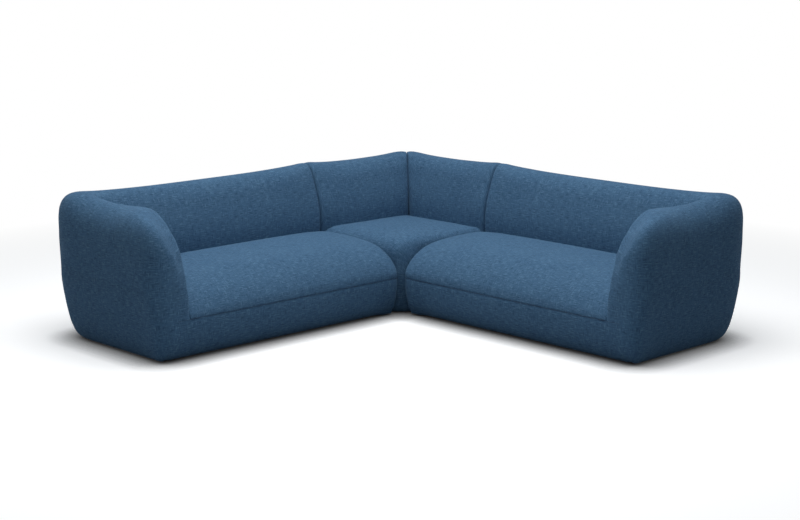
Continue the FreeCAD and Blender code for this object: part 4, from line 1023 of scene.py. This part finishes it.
def blue_cloth():
    """The cloth over the whole sofa, made once."""
    found = bpy.data.materials.get("Blue cloth")
    if found:
        return found
    tint = colours()
    material = new_material("Blue cloth")
    build = Tree(material.node_tree)
    where = build.node("ShaderNodeUVMap", uv_map="Cloth")
    weave = build.node("ShaderNodeGroup", {
        "Vector": where.outputs[0], "Colour": tuple(tint.cloth), "Pale": tuple(tint.cloth_light),
        "Dark": tuple(tint.cloth_dark_and_shade), "Yarn": YARN, "Slubs": SLUBS}, node_tree=slub_weave_group()).outputs
    bump = build.node("ShaderNodeBump", {"Strength": 0.55, "Distance": 0.0006, "Height": weave["Height"]})
    shader = build.node("ShaderNodeBsdfPrincipled", {
        "Base Color": weave["Colour"], "Roughness": weave["Roughness"], "Normal": bump.outputs[0],
        "Specular IOR Level": 0.15, "Sheen Weight": 0.12, "Sheen Roughness": 0.45,
        "Sheen Tint": (0.4, 0.62, 0.9, 1)})
    build.node("ShaderNodeOutputMaterial", {"Surface": shader.outputs[0]})
    return material


def simple_material(name, first, second, roughness, scale, stretch=(1, 1, 1), metallic=0.0, bump=0.2):
    """Two tones through a stretched noise, on the object's own place. Made once for each name."""
    found = bpy.data.materials.get(name)
    if found:
        return found
    material = new_material(name)
    build = Tree(material.node_tree)
    where = build.node("ShaderNodeTexCoord")
    turned = build.node("ShaderNodeMapping", {"Vector": where.outputs["Object"], "Scale": stretch})
    tone = build.noise(turned.outputs[0], scale, 5.0, 0.6)
    colour = build.mix(build.ranged(tone, 0.3, 0.7), (*first, 1), (*second, 1))
    lift = build.node("ShaderNodeBump", {"Strength": bump, "Distance": 0.001, "Height": tone})
    shader = build.node("ShaderNodeBsdfPrincipled", {
        "Base Color": colour, "Roughness": build.ranged(tone, 0.2, 0.8, roughness, roughness * 0.8),
        "Metallic": metallic, "Normal": lift.outputs[0]})
    build.node("ShaderNodeOutputMaterial", {"Surface": shader.outputs[0]})
    return material


def seam_thread():
    red, green, blue = colours().cloth_dark_and_shade[:3]
    shade = (red * 0.4, green * 0.4, blue * 0.45)
    return simple_material("Seam thread", shade, (red, green, blue), 0.8, 900.0)


def dress(piece, body, nodes):
    """Gives a piece its cloth and the body it moves with, and hides the CAD nodes it stands for."""
    piece.data.materials.clear()
    piece.data.materials.append(blue_cloth())
    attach(piece, body)
    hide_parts(*nodes)


# ---------------------------------------------------------------- stitches

STITCHES = {"Spacing": 0.008, "Length": 0.006, "Thickness": 0.0011, "Seed": 7}
# Shortest and longest stitch, as shares of that length
STITCH_SHORT, STITCH_LONG = 0.85, 1.12
# Where the stitches end inside the arm and at the joint, and how far they stand off the seam
SEAM_INTO_ARM, SEAM_FROM_JOINT, SEAM_OFFSET = 0.075, 0.006, 0.0006


def stitch_group():
    """Geometry nodes that lay a row of stitches along a line."""
    found = bpy.data.node_groups.get("Stitch row")
    if found:
        return found
    tree = bpy.data.node_groups.new("Stitch row", "GeometryNodeTree")
    for label, kind in (("Line", "Geometry"), ("Spacing", "Float"), ("Length", "Float"),
                        ("Thickness", "Float"), ("Seed", "Int"), ("Thread", "Material")):
        socket = tree.interface.new_socket(name=label, in_out="INPUT", socket_type="NodeSocket" + kind)
        if label in STITCHES:
            socket.default_value = STITCHES[label]
    tree.interface.new_socket(name="Stitches", in_out="OUTPUT", socket_type="NodeSocketGeometry")
    build = Tree(tree)
    given, out = build.node("NodeGroupInput").outputs, build.node("NodeGroupOutput")
    curve = build.node("GeometryNodeMeshToCurve", {"Mesh": given["Line"]})
    row = build.node("GeometryNodeCurveToPoints", {"Curve": curve.outputs[0], "Length": given["Spacing"]},
                     mode="LENGTH")
    ball = build.node("GeometryNodeMeshUVSphere", {"Segments": 8, "Rings": 6, "Radius": 1.0})
    half = build.times(given["Length"], 0.5)
    form = build.node("ShaderNodeCombineXYZ", {0: given["Thickness"], 1: given["Thickness"], 2: half})
    uneven = build.node("FunctionNodeRandomValue", {2: STITCH_SHORT, 3: STITCH_LONG, "Seed": given["Seed"]},
                        data_type="FLOAT")
    sized = build.node("ShaderNodeVectorMath", {0: form.outputs[0], "Scale": uneven.outputs[1]},
                       operation="SCALE")
    placed = build.node("GeometryNodeInstanceOnPoints", {
        "Points": row.outputs["Points"], "Instance": ball.outputs["Mesh"],
        "Rotation": row.outputs["Rotation"], "Scale": sized.outputs[0]})
    solid = build.node("GeometryNodeRealizeInstances", {0: placed.outputs[0]})
    dyed = build.node("GeometryNodeSetMaterial", {"Geometry": solid.outputs[0], "Material": given["Thread"]})
    build.feed(out.inputs[0], dyed.outputs[0])
    return tree


def stitched(name, path):
    """A row of stitches along a line of points in the frame."""
    mesh = bpy.data.meshes.new(name)
    mesh.from_pydata([tuple(point) for point in path], [(i, i + 1) for i in range(len(path) - 1)], [])
    row = new_piece(name, mesh)
    sewn = row.modifiers.new("Stitches", "NODES")
    sewn.node_group = stitch_group()
    wanted = {**STITCHES, "Thread": seam_thread()}
    for item in sewn.node_group.interface.items_tree:
        if item.name in wanted and item.in_out == "INPUT":
            sewn[item.identifier] = wanted[item.name]
    return baked(row)


def front_seam():
    """The line of the front seam, from the joint's side round to the arm."""
    path = plan_path()
    kept = (path[:, 0] < ARM_PLANE + SEAM_INTO_ARM) & (path[:, 0] > SIDE_START + SEAM_FROM_JOINT)
    points = (path + outward_of(path) * SEAM_OFFSET)[kept]
    return np.column_stack([points, np.full(len(points), SEAM + SEAM_OFFSET)])


# ---------------------------------------------------------------- operators

VOXEL = 0.0115


def fading(distance, run):
    """1 at no distance, falling to 0 at the run's end."""
    return np.clip(1 - distance / run, 0, 1)


def held_low(z, top, run):
    """1 for points well below a height, falling to 0 at it."""
    return np.clip((top - z) / run, 0, 1)


class SOFA_OT_shells(bpy.types.Operator):
    """Upholster the back, arm and front band of each wing in one skin"""
    bl_idname = "sofa.shells"
    bl_label = "Wing shells"

    def execute(self, context):
        shell = welded("Right_Back_And_Arm", [wing_wall(), front_band()], VOXEL)
        evened(shell, 6)
        co = coordinates(shell.data)
        joint = fading(wing_place(co)[0] - SIDE_START, 0.03)
        plumped(shell, np.maximum(held_low(co[:, 2], SEAM + 0.16, 0.14), joint))
        cloth_lie(shell)
        twin = mirrored_copy(shell, "Left_Back_And_Arm")
        parts = ("back_cover", "back_foam", "arm_cover", "arm_foam", "front_apron", "end_apron")
        for side, piece in ((RIGHT, shell), (LEFT, twin)):
            dress(piece, side + "_module", [side + "_" + part for part in parts])
        return {"FINISHED"}


class SOFA_OT_seats(bpy.types.Operator):
    """Upholster the seat cushion of each wing"""
    bl_idname = "sofa.seats"
    bl_label = "Wing seats"

    def execute(self, context):
        seat = side_seat()
        co = coordinates(seat.data)
        joint = fading(wing_place(co)[0] - SIDE_START, 0.006)
        plumped(seat, np.maximum(held_low(co[:, 2], SEAM + 0.03, 0.03), joint))
        finer(seat)
        twin = mirrored_copy(seat, "Left_Cushion")
        for side, piece in ((RIGHT, seat), (LEFT, twin)):
            dress(piece, side + "_module", [side + "_seat_cover", side + "_seat_foam"])
        return {"FINISHED"}


class SOFA_OT_stitches(bpy.types.Operator):
    """Sew the front seam of each wing"""
    bl_idname = "sofa.stitches"
    bl_label = "Seam stitches"

    def execute(self, context):
        for side, name in ((RIGHT, "Right_Seam_Stitches"), (LEFT, "Left_Seam_Stitches")):
            row = stitched(name, to_world(front_seam(), side))
            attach(row, side + "_module")
        return {"FINISHED"}


class SOFA_OT_corner(bpy.types.Operator):
    """Upholster the corner unit: two backs, a seat and the band below it"""
    bl_idname = "sofa.corner"
    bl_label = "Corner unit"

    def execute(self, context):
        back = corner_back()
        co = coordinates(back.data)
        s, n = wing_place(co)
        edges = np.maximum(fading(CORNER_END - s, 0.02), fading(np.abs(s - n), 0.02))
        plumped(back, np.maximum(edges, held_low(co[:, 2], 0.1, 0.05)))
        finer(back)
        twin = mirrored_copy(back, "Corner_Left_Back")
        for side, piece in ((RIGHT, back), (LEFT, twin)):
            crease_shifted(piece, side)
            nodes = ["corner_%s_back_cover" % side, "corner_%s_back_foam" % side]
            dress(piece, "corner_module", nodes)
        seat = corner_seat()
        plumped(seat, held_low(coordinates(seat.data)[:, 2], SEAM + 0.03, 0.03))
        finer(seat)
        dress(seat, "corner_module", ["corner_seat_cover", "corner_seat_foam"])
        band = corner_band()
        finer(band)
        dress(band, "corner_module", ["corner_right_apron", "corner_left_apron"])
        return {"FINISHED"}


# Each inner finish by its slot: name, two tones, roughness, the pattern's scale, and what else sets it apart
FINISHES = {
    "timber": ("Sawn timber", (0.52, 0.36, 0.2), (0.63, 0.47, 0.29), 0.65, 6.0, {"stretch": (1, 1, 12)}),
    "board": ("Thin board", (0.42, 0.3, 0.18), (0.5, 0.38, 0.24), 0.75, 40.0, {}),
    "felt": ("Pressed felt", (0.25, 0.25, 0.26), (0.42, 0.41, 0.4), 0.95, 120.0, {}),
    "webbing": ("Elastic webbing", (0.05, 0.05, 0.055), (0.16, 0.16, 0.17), 0.85, 300.0,
                {"stretch": (1, 1, 0.2)}),
    "dust_cloth": ("Dust cloth", (0.012, 0.012, 0.014), (0.03, 0.03, 0.033), 0.9, 400.0, {}),
    "steel": ("Zinc plate", (0.5, 0.51, 0.52), (0.66, 0.66, 0.65), 0.38, 60.0,
              {"metallic": 1.0, "bump": 0.05}),
    "glide_plastic": ("Moulded plastic", (0.014, 0.014, 0.015), (0.03, 0.03, 0.031), 0.5, 250.0,
                      {"bump": 0.1}),
    "foam": ("Open foam", (0.66, 0.6, 0.4), (0.78, 0.73, 0.54), 0.95, 500.0, {}),
}


class SOFA_OT_inside(bpy.types.Operator):
    """Give the frame's own pieces, mostly unseen, their timber, felt, webbing and metal"""
    bl_idname = "sofa.inside"
    bl_label = "Frame finishes"

    def execute(self, context):
        finishes = {slot: simple_material(*values, **rest) for slot, (*values, rest) in FINISHES.items()}
        slots = {entry["node"]: entry["material_slot"] for entry in frame["record"]["subparts"]}
        for name, node in frame["nodes"].items():
            if slots[name] in finishes:
                node.data.materials.clear()
                node.data.materials.append(finishes[slots[name]])
        return {"FINISHED"}


CAMERA_PLACE = (6.043, -5.843, 2.087)
CAMERA_AIM = (-0.7048, 0.6817, -0.1966)
LENS_LENGTH = 75.92
FLOOR_HALF = 40.0
# The floor's colour to the camera, for the light it sends back, and the painted contact shadow where the sofa
# stands close over it
FLOOR_PAINT = (0.92, 0.92, 0.92, 1)
FLOOR_BOUNCE = (0.42, 0.43, 0.45, 1)
FLOOR_PAINTED_SHADOW = (0.03, 0.03, 0.035, 1)
FLOOR_GLOW = 0.36
# How far the painted contact shadow reaches from the sofa, and how steeply it deepens
PAINTED_SHADOW_REACH, PAINTED_SHADOW_DEPTH = 0.16, 1.4
# Distances from the middle between which the floor turns plain white
WHITE_START, WHITE_END = 2.6, 4.2
SKY_STRENGTH = 0.14
SKY_TINT = (0.75, 0.88, 1, 1)


def floor_material():
    """Pale paint that keeps the shadows, with a painted contact shadow near the sofa, and turns plain white
    away from the sofa.
    """
    material = new_material("Pale floor")
    build = Tree(material.node_tree)
    seen = build.seen()
    # Painted contact shadow: an occlusion node darkens the paint and dims the glow where the sofa stands
    # close over the floor
    near = build.node("ShaderNodeAmbientOcclusion", {"Distance": PAINTED_SHADOW_REACH}, samples=8)
    unshadowed_share = build.calc("POWER", near.outputs["AO"], PAINTED_SHADOW_DEPTH)
    paint = build.mix(unshadowed_share, FLOOR_PAINTED_SHADOW, build.mix(seen, FLOOR_BOUNCE, FLOOR_PAINT))
    diffuse = build.node("ShaderNodeBsdfDiffuse", {"Color": paint})
    strength = build.times(seen, build.times(unshadowed_share, FLOOR_GLOW))
    glow = build.node("ShaderNodeEmission", {"Color": (1, 1, 1, 1), "Strength": strength})
    both = build.node("ShaderNodeAddShader", {0: diffuse.outputs[0], 1: glow.outputs[0]})
    white = build.node("ShaderNodeEmission", {"Color": (1, 1, 1, 1), "Strength": seen})
    where = build.node("ShaderNodeTexCoord")
    reach = build.node("ShaderNodeVectorMath", {0: where.outputs["Object"]}, operation="LENGTH")
    far = build.ranged(reach.outputs["Value"], WHITE_START, WHITE_END)
    look = build.node("ShaderNodeMixShader", {0: far, 1: both.outputs[0], 2: white.outputs[0]})
    build.node("ShaderNodeOutputMaterial", {"Surface": look.outputs[0]})
    return material


def studio_world():
    """White to the camera, and a faint cool light on the sofa."""
    world = bpy.data.worlds.new("Studio")
    world.use_nodes = True
    world.node_tree.nodes.clear()
    build = Tree(world.node_tree)
    seen = build.seen()
    sky = build.node("ShaderNodeBackground", {"Color": build.mix(seen, SKY_TINT, (1, 1, 1, 1)),
                                              "Strength": build.ranged(seen, 0.0, 1.0, SKY_STRENGTH, 1.0)})
    build.node("ShaderNodeOutputWorld", {"Surface": sky.outputs[0]})
    return world


def softbox(name, place, aim, width, height, power):
    data = bpy.data.lights.new(name, "AREA")
    data.shape = "RECTANGLE"
    data.size, data.size_y = width, height
    data.energy = power
    lamp = new_piece(name, data)
    lamp.location = place
    lamp.rotation_euler = (Vector(aim) - Vector(place)).to_track_quat("-Z", "Y").to_euler()


class SOFA_OT_stage(bpy.types.Operator):
    """Set the floor, the studio light and the camera"""
    bl_idname = "sofa.stage"
    bl_label = "Stage"

    def execute(self, context):
        scene = context.scene
        mesh = bpy.data.meshes.new("Floor")
        corners = [(x * FLOOR_HALF, y * FLOOR_HALF, 0) for x, y in ((-1, -1), (1, -1), (1, 1), (-1, 1))]
        mesh.from_pydata(corners, [], [(0, 1, 2, 3)])
        mesh.materials.append(floor_material())
        new_piece("Floor", mesh)
        scene.world = studio_world()
        softbox("Top_Softbox", (0.2, -0.4, 4.4), (0.0, 0.0, 0.3), 4.5, 4.5, 212)
        softbox("Left_Softbox", (-1.5, -6.0, 3.6), (-0.2, 0.0, 0.4), 3.0, 2.0, 12)
        data = bpy.data.cameras.new("Photo_View")
        data.sensor_width = 36
        data.lens = LENS_LENGTH
        data.clip_end = 200
        camera = new_piece("Photo_View", data)
        camera.location = CAMERA_PLACE
        camera.rotation_euler = Vector(CAMERA_AIM).to_track_quat("-Z", "Y").to_euler()
        scene.camera = camera
        scene.view_settings.view_transform = "Standard"
        return {"FINISHED"}
        scene.camera = camera
        scene.view_settings.view_transform = "Standard"
        return {"FINISHED"}


class SOFA_PT_panel(bpy.types.Panel):
    bl_label = "Corner Sofa"
    bl_idname = "SOFA_PT_panel"
    bl_space_type = "VIEW_3D"
    bl_region_type = "UI"
    bl_category = "Corner Sofa"

    def draw(self, context):
        layout = self.layout
        for operator in OPERATORS:
            layout.operator(operator.bl_idname)
        for group in (context.scene.sofa_sizes, context.scene.sofa_colours):
            box = layout.box()
            for name in group.__annotations__:
                box.prop(group, name)


OPERATORS = (SOFA_OT_stage, SOFA_OT_inside, SOFA_OT_shells, SOFA_OT_seats, SOFA_OT_stitches, SOFA_OT_corner)
CLASSES = (SofaSizes, SofaColours) + OPERATORS + (SOFA_PT_panel,)


def register():
    for item in CLASSES:
        bpy.utils.register_class(item)
    bpy.types.Scene.sofa_sizes = PointerProperty(type=SofaSizes)
    bpy.types.Scene.sofa_colours = PointerProperty(type=SofaColours)


def unregister():
    del bpy.types.Scene.sofa_colours
    del bpy.types.Scene.sofa_sizes
    for item in reversed(CLASSES):
        bpy.utils.unregister_class(item)


def main():
    register()
    bpy.ops.sofa.stage()
    bpy.ops.sofa.inside()
    bpy.ops.sofa.shells()
    bpy.ops.sofa.seats()
    bpy.ops.sofa.stitches()
    bpy.ops.sofa.corner()


if __name__ == "__main__":
    main()
